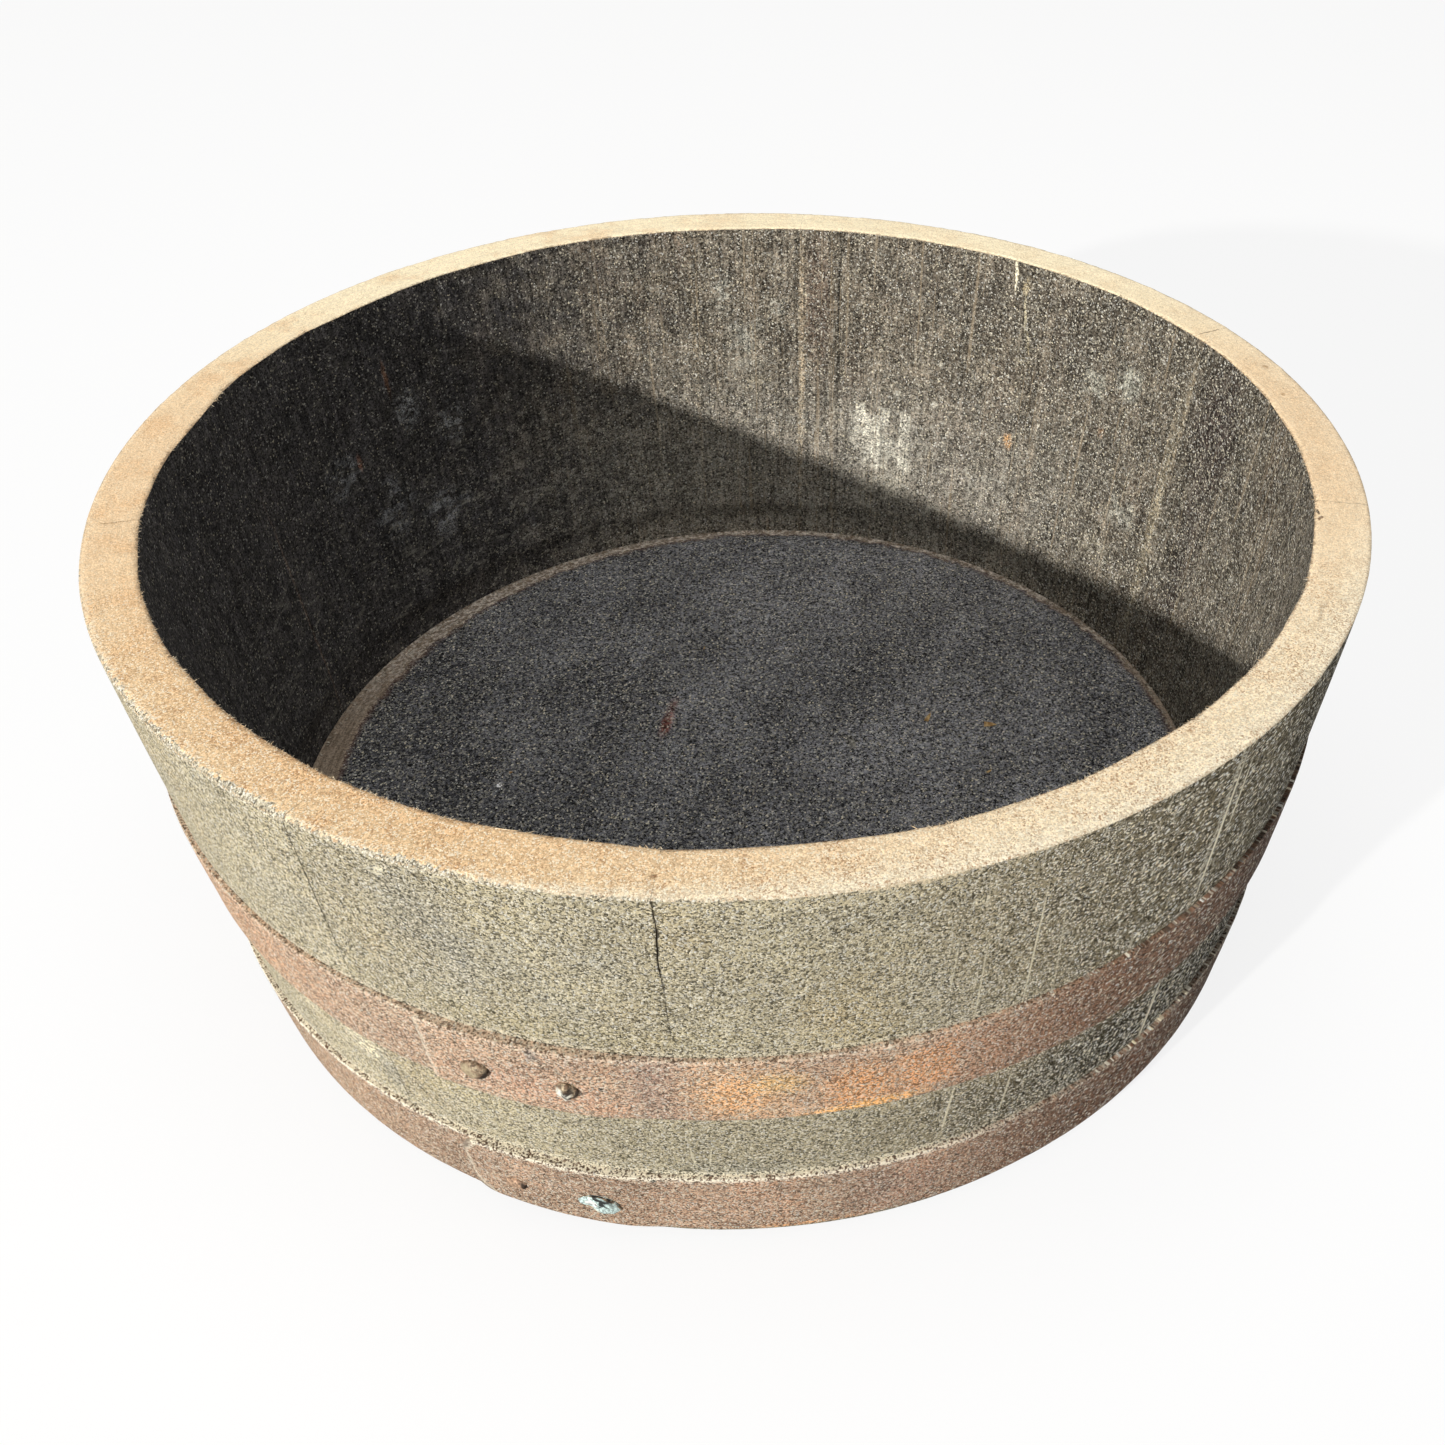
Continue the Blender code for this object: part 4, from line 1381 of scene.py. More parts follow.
    def wear(self, grid: StaveGrid, radius: np.ndarray) -> tuple[np.ndarray, np.ndarray]:
        """Wears the outside, the rim and the charred inside of a stave.

        Args:
            grid: The stave's points.
            radius: Distances from the tub's middle.

        Returns:
            The worn distances and heights.
        """
        height, depth, thickness, spots, bumps = grid.height, grid.depth, grid.thickness, grid.spots, self.relief.at
        left, right = self.seam(grid.index), self.seam(grid.index + 1)
        near = np.minimum(grid.place, grid.width - grid.place)
        at_rim = height > TUB.height - 1e-6
        on_outside = (depth < 1e-6) & ~at_rim
        on_inside = (depth > thickness * 0.93) & (height > TUB.howel_top - 1e-6) & ~at_rim
        swell = self.swell * (1 + bumps(spots, (0.035, 0.035, 0.09), 3))
        furrow = self.furrow * (1 + bumps(spots, (0.0035, 0.0035, 0.05), 2))
        dark = np.minimum(grid.by_side(left.dark_outside, right.dark_outside), 0.4)
        corner = 0.00002 + self.corner_worn * dark
        worn = self.outside_worn + swell + furrow + corner * smooth_step(0.0014, 0, near)
        radius = radius - np.where(on_outside, worn, 0)
        lumps = self.char_lump * bumps(spots, (0.016, 0.016, 0.020), 3)
        lumps = lumps + self.char_crumb * bumps(spots, 0.004, 2)
        corner = 0.00004 + self.char_corner * grid.by_side(left.dark_inside, right.dark_inside)
        radius = radius + np.where(on_inside, lumps + corner * smooth_step(0.0018, 0, near), 0)
        scored = self.saw_depth + self.saw_mark * bumps(spots, 0.0026, 2) + self.saw_wave * bumps(spots, 0.02, 2)
        height = height - np.where(at_rim, scored, 0)
        flat = spots * np.array([1, 1, 0])
        torn = np.clip(self.torn_depth * (0.5 + bumps(flat, 0.004, 3)), 0, 1)
        outer = smooth_step(0.0016, self.corner, depth) * at_rim
        inner = smooth_step(thickness - 0.0022, thickness - self.corner, depth) * at_rim
        height = height - torn * (0.6 * outer + 0.8 * inner)
        at_top = on_outside & (height > TUB.height - 0.0010)
        worn_down = np.clip(-self.fresh_limit(grid.angle) - depth, 0, self.deepest_wear) * (at_rim | at_top)
        worn_down = 0.55 * worn_down * (1 + 0.2 * bumps(flat, 0.006, 2))
        radius = radius - math.tan(TUB.wall_tilt) * worn_down * at_top
        shift = self.rim_shift * bumps(flat + 5.1, 0.005, 3)
        radius = radius - np.where(at_rim, np.abs(shift) * outer - shift * inner, 0)
        return radius, height - worn_down

    def facts(self, grid: StaveGrid, angle: np.ndarray) -> dict[str, np.ndarray]:
        """What a stave's finishes need at each point.

        Args:
            grid: The stave's points.
            angle: Their angles.

        Returns:
            The vectors by name.
        """
        index, place, depth, height, none = grid.index, grid.place, grid.depth, grid.height, 0 * grid.height
        outside = depth < grid.thickness / 2
        rng = np.random.default_rng(900 + index)
        inner_tone = rng.uniform(0.94, 1.06) * self.tones.get(index, 1.0)
        tone = np.where(outside, rng.uniform(0.97, 1.03), inner_tone)
        sides = (self.seam(index), self.seam(index + 1))
        dark = []
        for joint, seam in enumerate(sides, index):
            fade = smooth_step(seam.lowest - 0.02, seam.lowest, height)
            if joint == self.crack_joint:
                fade = smooth_step(self.crack_end - 0.006, self.crack_end + 0.004, height) * fade
            dark.append(np.where(outside, seam.dark_outside * fade, seam.dark_inside))
        return {
            "grain": vectors(place + 1.7 * index, depth, height),
            "unrolled": vectors(angle * TUB.rim_radius, height, depth),
            "sides": vectors(place, grid.width - place, tone),
            "dark_seams": vectors(*dark, none),
            "pale_seams": vectors(*(np.where(outside, seam.pale_outside, seam.pale_inside) for seam in sides), none),
            "rim_seams": vectors(*(none + seam.rim for seam in sides), none),
            "rim_edge": vectors(grid.thickness - depth, depth, self.fresh_limit(angle)),
        }

    def add(self) -> None:
        """Adds all the staves."""
        for index in range(len(self.width_shares)):
            self.build(index).add()


# Head


@dataclass
class Head:
    """The head: six boards with a cut bevel round them, held by dowels."""

    board_shares: tuple[float, ...] = (0.90, 1.05, 1.10, 0.92, 1.08, 0.95)
    flat_radius: float = 0.24904
    under_radius: float = 0.23404
    bevel_rings: tuple[float, ...] = (0.2490, 0.2515, 0.2540, 0.2565, 0.2590, 0.2615, 0.2640, 0.2668)
    bevel_curve: float = 1.3
    step: float = 0.0036
    arc_step: float = 0.0128
    under_points: int = 30
    lump: float = 0.0005
    crumb: float = 0.0002
    worn: float = 0.0004
    step_between: float = 0.0003
    groove: float = 0.0008
    top: CharredHead = CharredHead()
    cut: CutOak = CutOak()
    relief: Unevenness = field(default_factory=lambda: Unevenness(77))

    def upper(self, radius: np.ndarray | float) -> np.ndarray | float:
        """Height of the upper face at a distance from the middle."""
        share = np.clip((radius - self.flat_radius) / (TUB.shoulder_radius - self.flat_radius), 0, 1)
        return TUB.head_top + (TUB.head_edge_top - TUB.head_top) * share**self.bevel_curve

    def under(self, radius: np.ndarray) -> np.ndarray:
        """Height of the underside at a distance from the middle."""
        share = np.clip((radius - self.under_radius) / (TUB.shoulder_radius - self.under_radius), 0, 1)
        return TUB.head_under + (TUB.head_edge_under - TUB.head_under) * share

    def row(self, across: float) -> np.ndarray:
        """Places along one line of a board, over the head's upper face and back below it.

        Args:
            across: The line's distance from the head's middle.

        Returns:
            The places.
        """
        half = math.sqrt(max(TUB.head_radius**2 - across**2, 0))
        bevel = np.sqrt(np.clip(np.array(self.bevel_rings) ** 2 - across**2, 0, None))
        bevel = np.minimum(bevel, half)
        flat = np.linspace(-bevel[0], bevel[0], int(2 * self.flat_radius / self.step))
        back = np.linspace(half, -half, self.under_points)
        return np.concatenate([[-half], -bevel[::-1][:-1], flat, bevel[1:], [half], back])

    def build(self, index: int) -> Piece:
        """Builds one board.

        Args:
            index: Which board, from 0.

        Returns:
            The piece.
        """
        shares = self.board_shares
        joints = [-TUB.head_radius]
        for share in shares:
            joints.append(joints[-1] + 2 * TUB.head_radius * share / sum(shares))
        start, end = joints[index : index + 2]
        first, last = math.asin(start / TUB.head_radius), math.asin(min(end / TUB.head_radius, 1))
        places = TUB.head_radius * np.sin(spaced(first, last, self.arc_step))
        edge = np.array([0.0006, 0.0016])
        inner = places[(places > start + 0.0022) & (places < end - 0.0022)]
        places = np.concatenate([[start], start + edge, inner, end - edge[::-1], [end]])
        along = np.array([self.row(across) for across in places])
        rows = along.shape[1]
        across = np.repeat(places[:, None], rows, axis=1)
        radius = np.hypot(across, along)
        is_top = np.arange(rows) < rows - self.under_points
        height = np.where(is_top[None, :], self.upper(radius), self.under(radius))
        spots = vectors(across + 0.9 * index, along, 0 * along)
        far = across * 0 + 1
        near = np.minimum(across - start if index > 0 else far, end - across if index < len(shares) - 1 else far)
        bumps = self.relief.at
        lumps = self.lump * bumps(spots, (0.010, 0.018, 1), 3) + self.crumb * bumps(spots, 0.004, 1)
        level = self.step_between * bumps(np.array([[index * 2.7, 0.1, 0.9]]), 1.0, 1)[0]
        groove = self.groove * smooth_step(0.0016, 0.0, near)
        fade = smooth_step(TUB.head_radius - 0.004, TUB.head_radius - 0.010, radius)
        height = height + np.where(is_top[None, :], (lumps - self.worn + level) * fade - groove, 0.0)
        turn = math.radians(GRAIN_ANGLE)
        x = across * math.cos(turn) - along * math.sin(turn)
        y = across * math.sin(turn) + along * math.cos(turn)
        points = vectors(x, y, height)
        zones = np.tile(np.where(is_top, 0, 1), len(places) - 1)
        zones[rows - self.under_points - 1 :: rows] = 1
        name = f"head_board_{index + 1}"
        return Piece(
            name=f"charred_{name}",
            points=points,
            faces=tube_faces(len(places), rows),
            finishes=(self.top, self.cut),
            facts={"unrolled": np.ones_like(points)},
            zones=np.concatenate([zones, [1, 1]]),
            slot="head_oak",
            stands_for=(name,),
        )

    def add(self) -> None:
        """Adds the boards and dresses the dowels inside them."""
        for index in range(len(self.board_shares)):
            self.build(index).add()
        for name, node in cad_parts.items():
            if "dowel" in name:
                node.data.materials.clear()
                node.data.materials.append(material_of(DowelOak()))


# Hoops and rivets


@dataclass(frozen=True)
class RivetPlan:
    """One rivet: which way along the hoop, its size and how it has worn."""

    along: float
    radius: float
    tall: float
    squash: tuple[float, float]
    turn: float
    lumpiness: float
    finish: RivetSteel


@dataclass(frozen=True)
class Hoop:
    """A flat steel hoop whose outer end laps over its inner end, with its rivets."""

    node: str
    bottom: float
    width: float
    corner: float
    end_angle: float
    rivet_height_share: float
    rivets: tuple[RivetPlan, ...]
    finish: RustedSteel
    seed: int
    thickness: float = 0.0018
    lap: float = 0.100
    ramp: float = 0.030
    step: float = 0.0038
    rivet_rows: int = 11
    rivet_sides: int = 26
    shank: float = 0.0030
    tail: float = 0.0040
    edge_wave: float = 0.00035
    dent: float = 0.00028
    pit: float = 0.00008
    edge_rounding: float = 0.00045
    end_rounding: float = 0.0005

    @property
    def mid_radius(self) -> float:
        """Radius of the hoop's inside at the middle of its width."""
        return TUB.outer_radius(self.bottom + self.width / 2) + TUB.fit_gap

    @property
    def length(self) -> float:
        """Length of the strip."""
        return math.tau * self.mid_radius + self.lap

    def lift(self, along: np.ndarray) -> np.ndarray:
        """How far the strip has climbed onto its inner end, from 0 to 1."""
        start = self.length - self.lap - 0.003
        return smooth_step(start, start + self.ramp, along)

    def build(self) -> Piece:
        """Builds the strip, bent round the staves.

        Returns:
            The piece.
        """
        relief = Unevenness(self.seed)
        fine = np.array([0.0, 0.0004, 0.0012, 0.0024, 0.0040, 0.0060, 0.0085])
        fine = fine[fine < self.corner * 0.999]
        middle = spaced(self.corner, self.length - self.corner, self.step)
        along = np.concatenate([fine, middle, self.length - fine[::-1]])
        near_end = np.clip(self.corner - np.minimum(along, self.length - along), 0, None)
        inset = self.corner - np.sqrt(np.clip(self.corner**2 - near_end**2, 0, None))
        share = np.array([0.0, 0.0006, 0.0018, 0.0045, 0.0085, 0.0125, 0.0165, 0.0205]) / self.width
        share = np.concatenate([share, [0.5], 1 - share[::-1]])
        shares = np.concatenate([share, [1.0, 0.75, 0.5, 0.25, 0.0]])
        place, portion = np.meshgrid(along, shares, indexing="ij")
        is_outside = np.arange(len(shares)) < len(share)
        inset = np.repeat(inset[:, None], len(shares), axis=1)
        up = inset + portion * (self.width - 2 * inset)
        edge = np.minimum(portion, 1 - portion) * self.width
        to_end = self.length - place
        turned = self.corner - np.hypot(self.corner - to_end, np.clip(self.corner - edge, 0, None))
        to_end = np.where((to_end < self.corner) & (self.corner > 0.005), np.maximum(turned, 0), to_end)
        spots = vectors(place, up, 0 * up)
        ragged = self.edge_wave * relief.at(spots * np.array([1, 0, 0]), 0.020, 3) * np.sign(portion - 0.5)
        up = up + ragged * smooth_step(0.25, 0.5, np.abs(portion - 0.5))
        height = self.bottom + up
        climb = (self.thickness + TUB.fit_gap) / math.cos(TUB.wall_tilt)
        radius = TUB.outer_radius(height) + TUB.fit_gap + climb * self.lift(place)
        dents = self.dent * relief.at(spots, (0.045, 0.030, 1), 3) + self.pit * relief.at(spots, 0.007, 2)
        rounding = self.edge_rounding * smooth_step(0.0009, 0.0, edge)
        end = np.minimum(place, self.length - place)
        rounding = np.maximum(rounding, self.end_rounding * smooth_step(0.0007, 0.0, end))
        under = smooth_step(self.lap + 0.012, self.lap - 0.004, place)
        thickness = self.thickness * (1 - 0.9 * smooth_step(self.ramp, 0.0, place))
        pressed = (0.0006 - 0.0004 * self.lift(place)) * smooth_step(0.98, 1.0, portion)
        outside = thickness + 0.00010 + (dents - rounding) * (1 - 0.85 * under)
        radius = radius + np.where(is_outside[None, :], outside, 0.00005 - pressed)
        angle = math.radians(self.end_angle) + (self.length - place) / self.mid_radius
        return Piece(
            name=f"rusted_{self.node}",
            points=around(angle, radius, height),
            faces=tube_faces(len(along), len(shares)),
            finishes=(self.finish,),
            facts={
                "strip": vectors(place, up, to_end),
                "unrolled": vectors(angle * TUB.rim_radius, height, 0 * height),
            },
            slot="hoop_steel",
            stands_for=(self.node,),
            sharp_angle=50.0,
        )

    def build_rivet(self, number: int, plan: RivetPlan) -> Piece:
        """Builds a rivet with a hammered head and a flared tail.

        Args:
            number: Which rivet, from 0.
            plan: The rivet.

        Returns:
            The piece.
        """
        sides = self.rivet_sides
        relief = Unevenness(200 + 10 * self.seed + number)
        grip = 2 * (self.thickness + TUB.fit_gap)
        swing = np.linspace(0, math.pi / 2, self.rivet_rows)
        head, tall = plan.radius * np.sin(swing) ** 0.85, plan.tall * np.cos(swing) ** 0.8
        radii = np.concatenate([head, [plan.radius * 0.97, self.shank, self.shank, self.tail, 0.0]])
        levels = np.concatenate([tall, [-0.0001, 0.0, 0.0012 - grip, -grip, -grip]])
        ring, turn = np.meshgrid(np.arange(len(radii)), np.arange(sides) / sides * math.tau, indexing="ij")
        radius, level = radii[ring], levels[ring]
        x, y = radius * np.cos(turn), radius * np.sin(turn)
        lumps = relief.at(vectors(x, y, level), plan.radius * 0.55, 2)
        swell = 1 + plan.lumpiness * lumps * ((level >= 0) & (radius > 0))
        x, y = x * swell * plan.squash[0], y * swell * plan.squash[1]
        level = np.where(level > 0, level * (1 + 1.6 * plan.lumpiness * lumps), level)
        spin = math.radians(plan.turn)
        local = vectors(x * math.cos(spin) - y * math.sin(spin), x * math.sin(spin) + y * math.cos(spin), level)
        seat = self.seat(math.radians(self.end_angle) + plan.along / self.mid_radius, grip + TUB.fit_gap)
        faces = [
            (first + side, first + sides + side, first + sides + (side + 1) % sides, first + (side + 1) % sides)
            for first in range(0, (len(radii) - 1) * sides, sides)
            for side in range(sides)
        ]
        name = f"{self.node}_rivet_{number + 1}"
        return Piece(
            name=f"hammered_{name}",
            points=local.reshape(-1, 3) @ np.array(seat.to_3x3()).T + np.array(seat.translation),
            faces=faces,
            finishes=(plan.finish,),
            facts={"unrolled": local},
            slot="rivet_steel",
            stands_for=(name,),
            sharp_angle=45.0,
        )

    def seat(self, angle: float, out: float) -> Matrix:
        """Place of a rivet on the wall: X round the tub, Y up the wall, Z out of it.

        Args:
            angle: Angle from the front, in radians.
            out: Distance out of the staves' outside.

        Returns:
            The matrix.
        """
        height = self.bottom + self.width * self.rivet_height_share
        outwards = Vector(around(angle, math.cos(TUB.wall_tilt), -math.sin(TUB.wall_tilt)))
        along = Vector((math.cos(angle), math.sin(angle), 0.0))
        matrix = Matrix((along, outwards.cross(along), outwards)).transposed().to_4x4()
        matrix.translation = Vector(around(angle, TUB.outer_radius(height), height)) + outwards * out
        return matrix

    def add(self) -> None:
        """Adds the hoop and its rivets."""
        self.build().add()
        for number, plan in enumerate(self.rivets):
            self.build_rivet(number, plan).add()


# Places on a hoop, like those on the staves, count up from its outer end at -28 degrees, so 310 is -50

# Near black for the painted shadows on the bright rivet.
PAINTED_RIVET_SHADOW = (20, 18, 17)
RIVET_SHADE = (34, 26, 22)

QUARTER_RUST = wall_marks(
    (311, 132, 110, 60, (206, 160, 124), .45, .8),
    (-18, 124, 70, 22, (192, 148, 124), .35, .8),
    (-8.3, 134, 26, 60, (140, 118, 110), .5, .8),
    (-1.8, 131, 52, 46, (200, 160, 120), .55, .7),
    (-2.4, 130, 26, 24, (218, 166, 116), .75, .7),
    (1, 138, 22, 14, (214, 176, 116), .6, .7),
    (7.4, 126, 30, 36, (206, 150, 102), .85, .6, 0, 4),
    (12.9, 132, 26, 30, (212, 154, 106), .75, .3, 0, 8, SQUARE),
    (7.6, 111.5, 52, 7, (236, 180, 112), .9, .6, 0, 3),
    (26, 133, 110, 60, (176, 132, 102), .45, .7),
    # Painted shade over the far right of the hoop.
    (55, 133, 120, 80, (118, 88, 76), .6, .7),
    (332, 133, 1.4, 60, (80, 66, 54), .6, .4, .42, 10),
    (-24.2, 150, 1.4, 14, (70, 58, 50), .55, .5, 0, -8),
    (-17.8, 151.5, 6, 8, (104, 102, 102), .65),
    (-17.2, 146, 1.4, 10, (66, 60, 58), .6, .5),
    (-12.8, 133, 2.2, 2.2, (34, 26, 22), .95, .3, 0, 0, STRAIGHT),
)

HEAD_RUST = wall_marks(
    (315, 34, 110, 60, (200, 164, 132), .4, .8),
    (-10.2, 54.5, 4, 3, (18, 15, 13), .95, .4),
    (-6, 30, 80, 30, (188, 152, 126), .35, .8),
    (3, 8.5, 60, 5, (222, 166, 116), .7, .7, .45),
    (12, 30, 50, 40, (136, 110, 100), .35, .8),
    (24, 34, 80, 50, (150, 120, 100), .4, .8),
    # Painted shade over the far right of the hoop.
    (55, 33, 140, 80, (112, 86, 76), .55, .7),
)

QUARTER_HOOP = Hoop(
    "quarter_hoop", bottom=0.1093, width=0.0464, corner=0.0030, end_angle=-27.9, rivet_height_share=0.46, seed=5,
    rivets=(
        RivetPlan(0.025, 0.0056, 0.0030, (1.08, 1.0), 8.0, 0.20, RivetSteel("brown_rivet", marks=flat_marks(
            (-1.2, 0.8, 8, 7, (176, 162, 132), 0.7, 0.4, 0.40),
            (5.2, -1.2, 2.4, 10, RIVET_SHADE, 0.9, 0.4, 0, -20),
        ))),
        RivetPlan(0.066, 0.0048, 0.0030, (1.05, 1.08), 0.0, 0.30, RivetSteel("faceted_rivet", marks=flat_marks(
            # Painted highlight on the lower left facet.
            (-1.2, -1, 7.8, 7.2, (232, 230, 216), 0.95, 0.25),
            (0.8, 2.2, 6, 3, (40, 34, 30), 0.9, 0.3, 0.45, 20),
            (-0.2, -0.6, 1.6, 4, (60, 50, 44), 0.8, 0.3, 0, 30),
            (1.6, -3, 2, 2.4, (70, 58, 48), 0.8, 0.3),
            # Painted shadow along the right edge.
            (4.4, -0.2, 2, 8, (44, 34, 30), 0.9, 0.4, 0, -12),
        ))),
    ),
    finish=RustedSteel("quarter_hoop_rust", width=0.0464, dustiness=0.20, marks=QUARTER_RUST),
)  # fmt: skip

HEAD_HOOP = Hoop(
    "head_hoop", bottom=0.0073, width=0.0493, corner=0.0120, end_angle=-28.4, rivet_height_share=0.44, seed=9,
    rivets=(
        RivetPlan(0.025, 0.00464, 0.0016, (1.1, 0.85), 0.0, 0.25, RivetSteel(
            "rusty_rivet", worn=seen(182, 152, 126), rust=seen(160, 130, 106),
            marks=flat_marks((4, 0.4, 2.6, 7, RIVET_SHADE, 0.9, 0.4, 0, 20)),
        )),
        RivetPlan(0.066, 0.0070, 0.0024, (1.30, 1.02), -8.0, 0.50, RivetSteel(
            # The bright facing side is a painted highlight.
            "bright_rivet", bright=seen(196, 216, 212), highlight_share=0.98, highlight_facing=(-0.3, -0.9, -0.25),
            # White and pale marks are painted highlights, the near-black ones painted shadows.
            marks=flat_marks(
                (-4, 1.2, 6, 5, (246, 248, 244), 1, 0.2, 0, -20),
                (-3, -4, 6, 2.2, (232, 226, 204), 0.9, 0.3),
                (0.2, 5.2, 12, 2, PAINTED_RIVET_SHADOW, 0.95, 0.25, 0, -6),
                (1.2, 3, 3.4, 2.6, PAINTED_RIVET_SHADOW, 0.95, 0.2, 0, 35),
                (3.4, 1.6, 3, 1.4, PAINTED_RIVET_SHADOW, 0.95, 0.2, 0, -35),
                (-1, 0.4, 4, 1.1, PAINTED_RIVET_SHADOW, 0.95, 0.2, 0, -20),
                (-5, -0.8, 2.2, 1, (90, 96, 96), 0.8, 0.2, 0, -20),
            ),
        )),
    ),
    finish=RustedSteel(
        "head_hoop_rust", dark=seen(141, 116, 96), brown=seen(154, 128, 107), light=seen(168, 142, 120),
        dustiness=0.85, marks=HEAD_RUST,
    ),
)  # fmt: skip


# Torn fibres, shavings and chips

UP = Vector((0, 0, 1))


@dataclass
class Fibres:
    """Loose slivers of oak: each is a thin three-sided blade, bent once."""

    name: str
    slot: str = "stave_oak"
    finish: LooseOak = LooseOak()
    points: list[np.ndarray] = field(default_factory=list)
    faces: list[tuple[int, ...]] = field(default_factory=list)

    def blade(self, root: Vector, along: Vector, side: Vector, length: float, width: float, bend: Vector) -> None:
        """Adds one sliver.

        Args:
            root: Where it starts.
            along: Which way it points.
            side: Which way it is wide.
            length: Its length.
            width: Its width.
            bend: How far its tip is bent aside.
        """
        along, side = along.normalized(), side.normalized()
        thick = along.cross(side).normalized() * width * 0.45
        rows = []
        for share, size in ((0.0, 1.0), (0.55, 0.75)):
            middle = root + along * length * share + bend * share * share
            rows += [middle - side * width * size / 2, middle + side * width * size / 2, middle + thick * size]
        rows.append(root + along * length + bend)
        a, b, c, d, e, f, tip = range(7 * len(self.points), 7 * len(self.points) + 7)
        self.points.append(np.array([tuple(point) for point in rows]))
        self.faces += [(a, c, b), (a, b, e, d), (b, c, f, e), (c, a, d, f), (d, e, tip), (e, f, tip), (f, d, tip)]

    def add(self) -> None:
        """Adds all the slivers as one piece."""
        points = np.concatenate(self.points)
        Piece(self.name, points, self.faces, (self.finish,), slot=self.slot, sharp_angle=60.0).add()


@dataclass
class TornEdge:
    """Fibres that the saw tore along the rim's outer and inner edge."""

    wall: StaveWall
    outer_count: int = 3000
    inner_count: int = 3600
    outer_radius: float = 0.3190
    longest_outside: float = 0.0016
    seed: int = 314
    long_fibres: tuple[tuple[float, float, float, float], ...] = (
        (-19.6, 0.0100, 0.96, -0.10),
        (-17.4, 0.0044, 0.80, -0.40),
        (-14.0, 0.0030, 0.30, -0.90),
        (12.0, 0.0040, -0.60, -0.70),
    )

    def inner_radius(self, angle: float) -> float:
        """Radius of the rim's inner edge at an angle.

        Args:
            angle: Angle from the front, in radians.

        Returns:
            The radius.
        """
        joints, shares = self.wall.joints(), self.wall.thickness_shares
        turned = (angle - joints[0]) % math.tau + joints[0]
        index = min(int(np.searchsorted(joints, turned, side="right")) - 1, len(shares) - 1)
        return TUB.rim_radius - TUB.stave_thickness * shares[index]

    def ways(self, angle: float) -> tuple[Vector, Vector]:
        """Ways round the tub and out of it, at an angle."""
        return Vector((math.cos(angle), math.sin(angle), 0.0)), Vector((math.sin(angle), -math.cos(angle), 0.0))

    def add(self) -> None:
        """Adds the fibres of both edges."""
        rng = np.random.default_rng(self.seed)
        outer, inner = Fibres("torn_outer_edge"), Fibres("torn_inner_edge")
        for fibres, count, least in ((outer, self.outer_count, 0.25), (inner, self.inner_count, 0.35)):
            for _ in range(count):
                angle = rng.uniform(0, math.tau)
                length = rng.uniform(0.0006, 0.0016) * (1.0 + 1.3 * rng.random() ** 4)
                width = rng.uniform(0.00022, 0.00055)
                lean, droop, tip = rng.uniform(-0.8, 0.8), rng.uniform(0.15, 1.0), rng.uniform(-1, 1, 3)
                turn = abs(math.remainder(angle, math.tau))
                front = 1 - min(max((turn - math.radians(55)) / math.radians(50), 0), 1)
                if rng.random() > least + 0.65 * front:
                    continue
                beside, outwards = self.ways(angle)
                if fibres is outer:
                    radius, height = self.outer_radius, TUB.height - rng.uniform(0.0006, 0.0016)
                    along = outwards * 0.10 - UP * droop + beside * lean
                    length = min(length, self.longest_outside)
                else:
                    radius = self.inner_radius(angle) + rng.uniform(0.0, 0.0006)
                    height = TUB.height - rng.uniform(0.0004, 0.0012)
                    along = -outwards * rng.uniform(0.4, 1.0) - UP * (droop - 0.5) + beside * lean
                    along.z = min(along.z, 0.05)
                bend = Vector(tip) * length * 0.15
                bend.z = min(bend.z, 0.0)
                if fibres is outer:
                    bend -= outwards * max(bend.dot(outwards), 0.0)
                fibres.blade(Vector(around(angle, radius, height)), along, beside, length, width, bend)
        for degrees, length, sideways, inwards in self.long_fibres:
            angle = math.radians(degrees)
            beside, outwards = self.ways(angle)
            root = Vector(around(angle, self.inner_radius(angle) - 0.0002, TUB.height - 0.0007))
            inner.blade(root, beside * sideways + outwards * inwards, UP, length, 0.0006, -outwards * 0.0004)
        outer.add()
        inner.add()


@dataclass
class Litter:
    """Shavings on the head's bevel, and the chips that lie on the char."""

    head: Head
    seed: int = 2718
    shavings: int = 320
    lift: float = 0.0002
    chips: tuple[tuple[float, float, float, float, float], ...] = (
        (0.110, 0.039, 0.0085, 0.0030, 62.0),
        (0.148, 0.029, 0.0080, 0.0050, -12.0),
        (0.141, -0.014, 0.0040, 0.0018, 30.0),
        (-0.145, 0.005, 0.0022, 0.0018, 10.0),
        (-0.030, 0.120, 0.0030, 0.0010, 75.0),
        (0.060, -0.110, 0.0034, 0.0012, -40.0),
    )

    def add(self) -> None:
        """Adds the shavings and the chips."""
        rng = np.random.default_rng(self.seed)
        shaving = LooseOak("shaving_oak", seen(206, 196, 178), seen(148, 138, 122))
        curls = Fibres("bevel_shavings", "head_oak", shaving)
        for _ in range(self.shavings):
            angle = rng.uniform(math.radians(70), math.radians(300))
            radius = rng.uniform(0.2600, 0.2668)
            root = Vector(around(angle, radius, self.head.upper(radius) + self.lift))
            along = Vector((*rng.uniform(-1, 1, 2), rng.uniform(0.0, 0.55)))
            length = rng.uniform(0.0010, 0.0036)
            side = Vector((-along.y, along.x, 0.0))
            curls.blade(root, along, side, length, rng.uniform(0.0006, 0.0017), Vector((0, 0, 0.3 * length)))
        curls.add()
        chips = Fibres("loose_chips", "head_oak", LooseOak("chip_oak", seen(214, 184, 130), seen(150, 112, 70)))
        for x, y, length, width, turn in self.chips:
            heading = math.radians(turn)
            along = Vector((math.cos(heading), math.sin(heading), 0.06))
            side = Vector((-math.sin(heading), math.cos(heading), 0.0))
            root = Vector((x, y, TUB.head_top + self.lift)) - along * length / 2
            chips.blade(root, along, side, length, width, Vector((0, 0, self.lift)))
        chips.add()


# Camera, floor and lamps


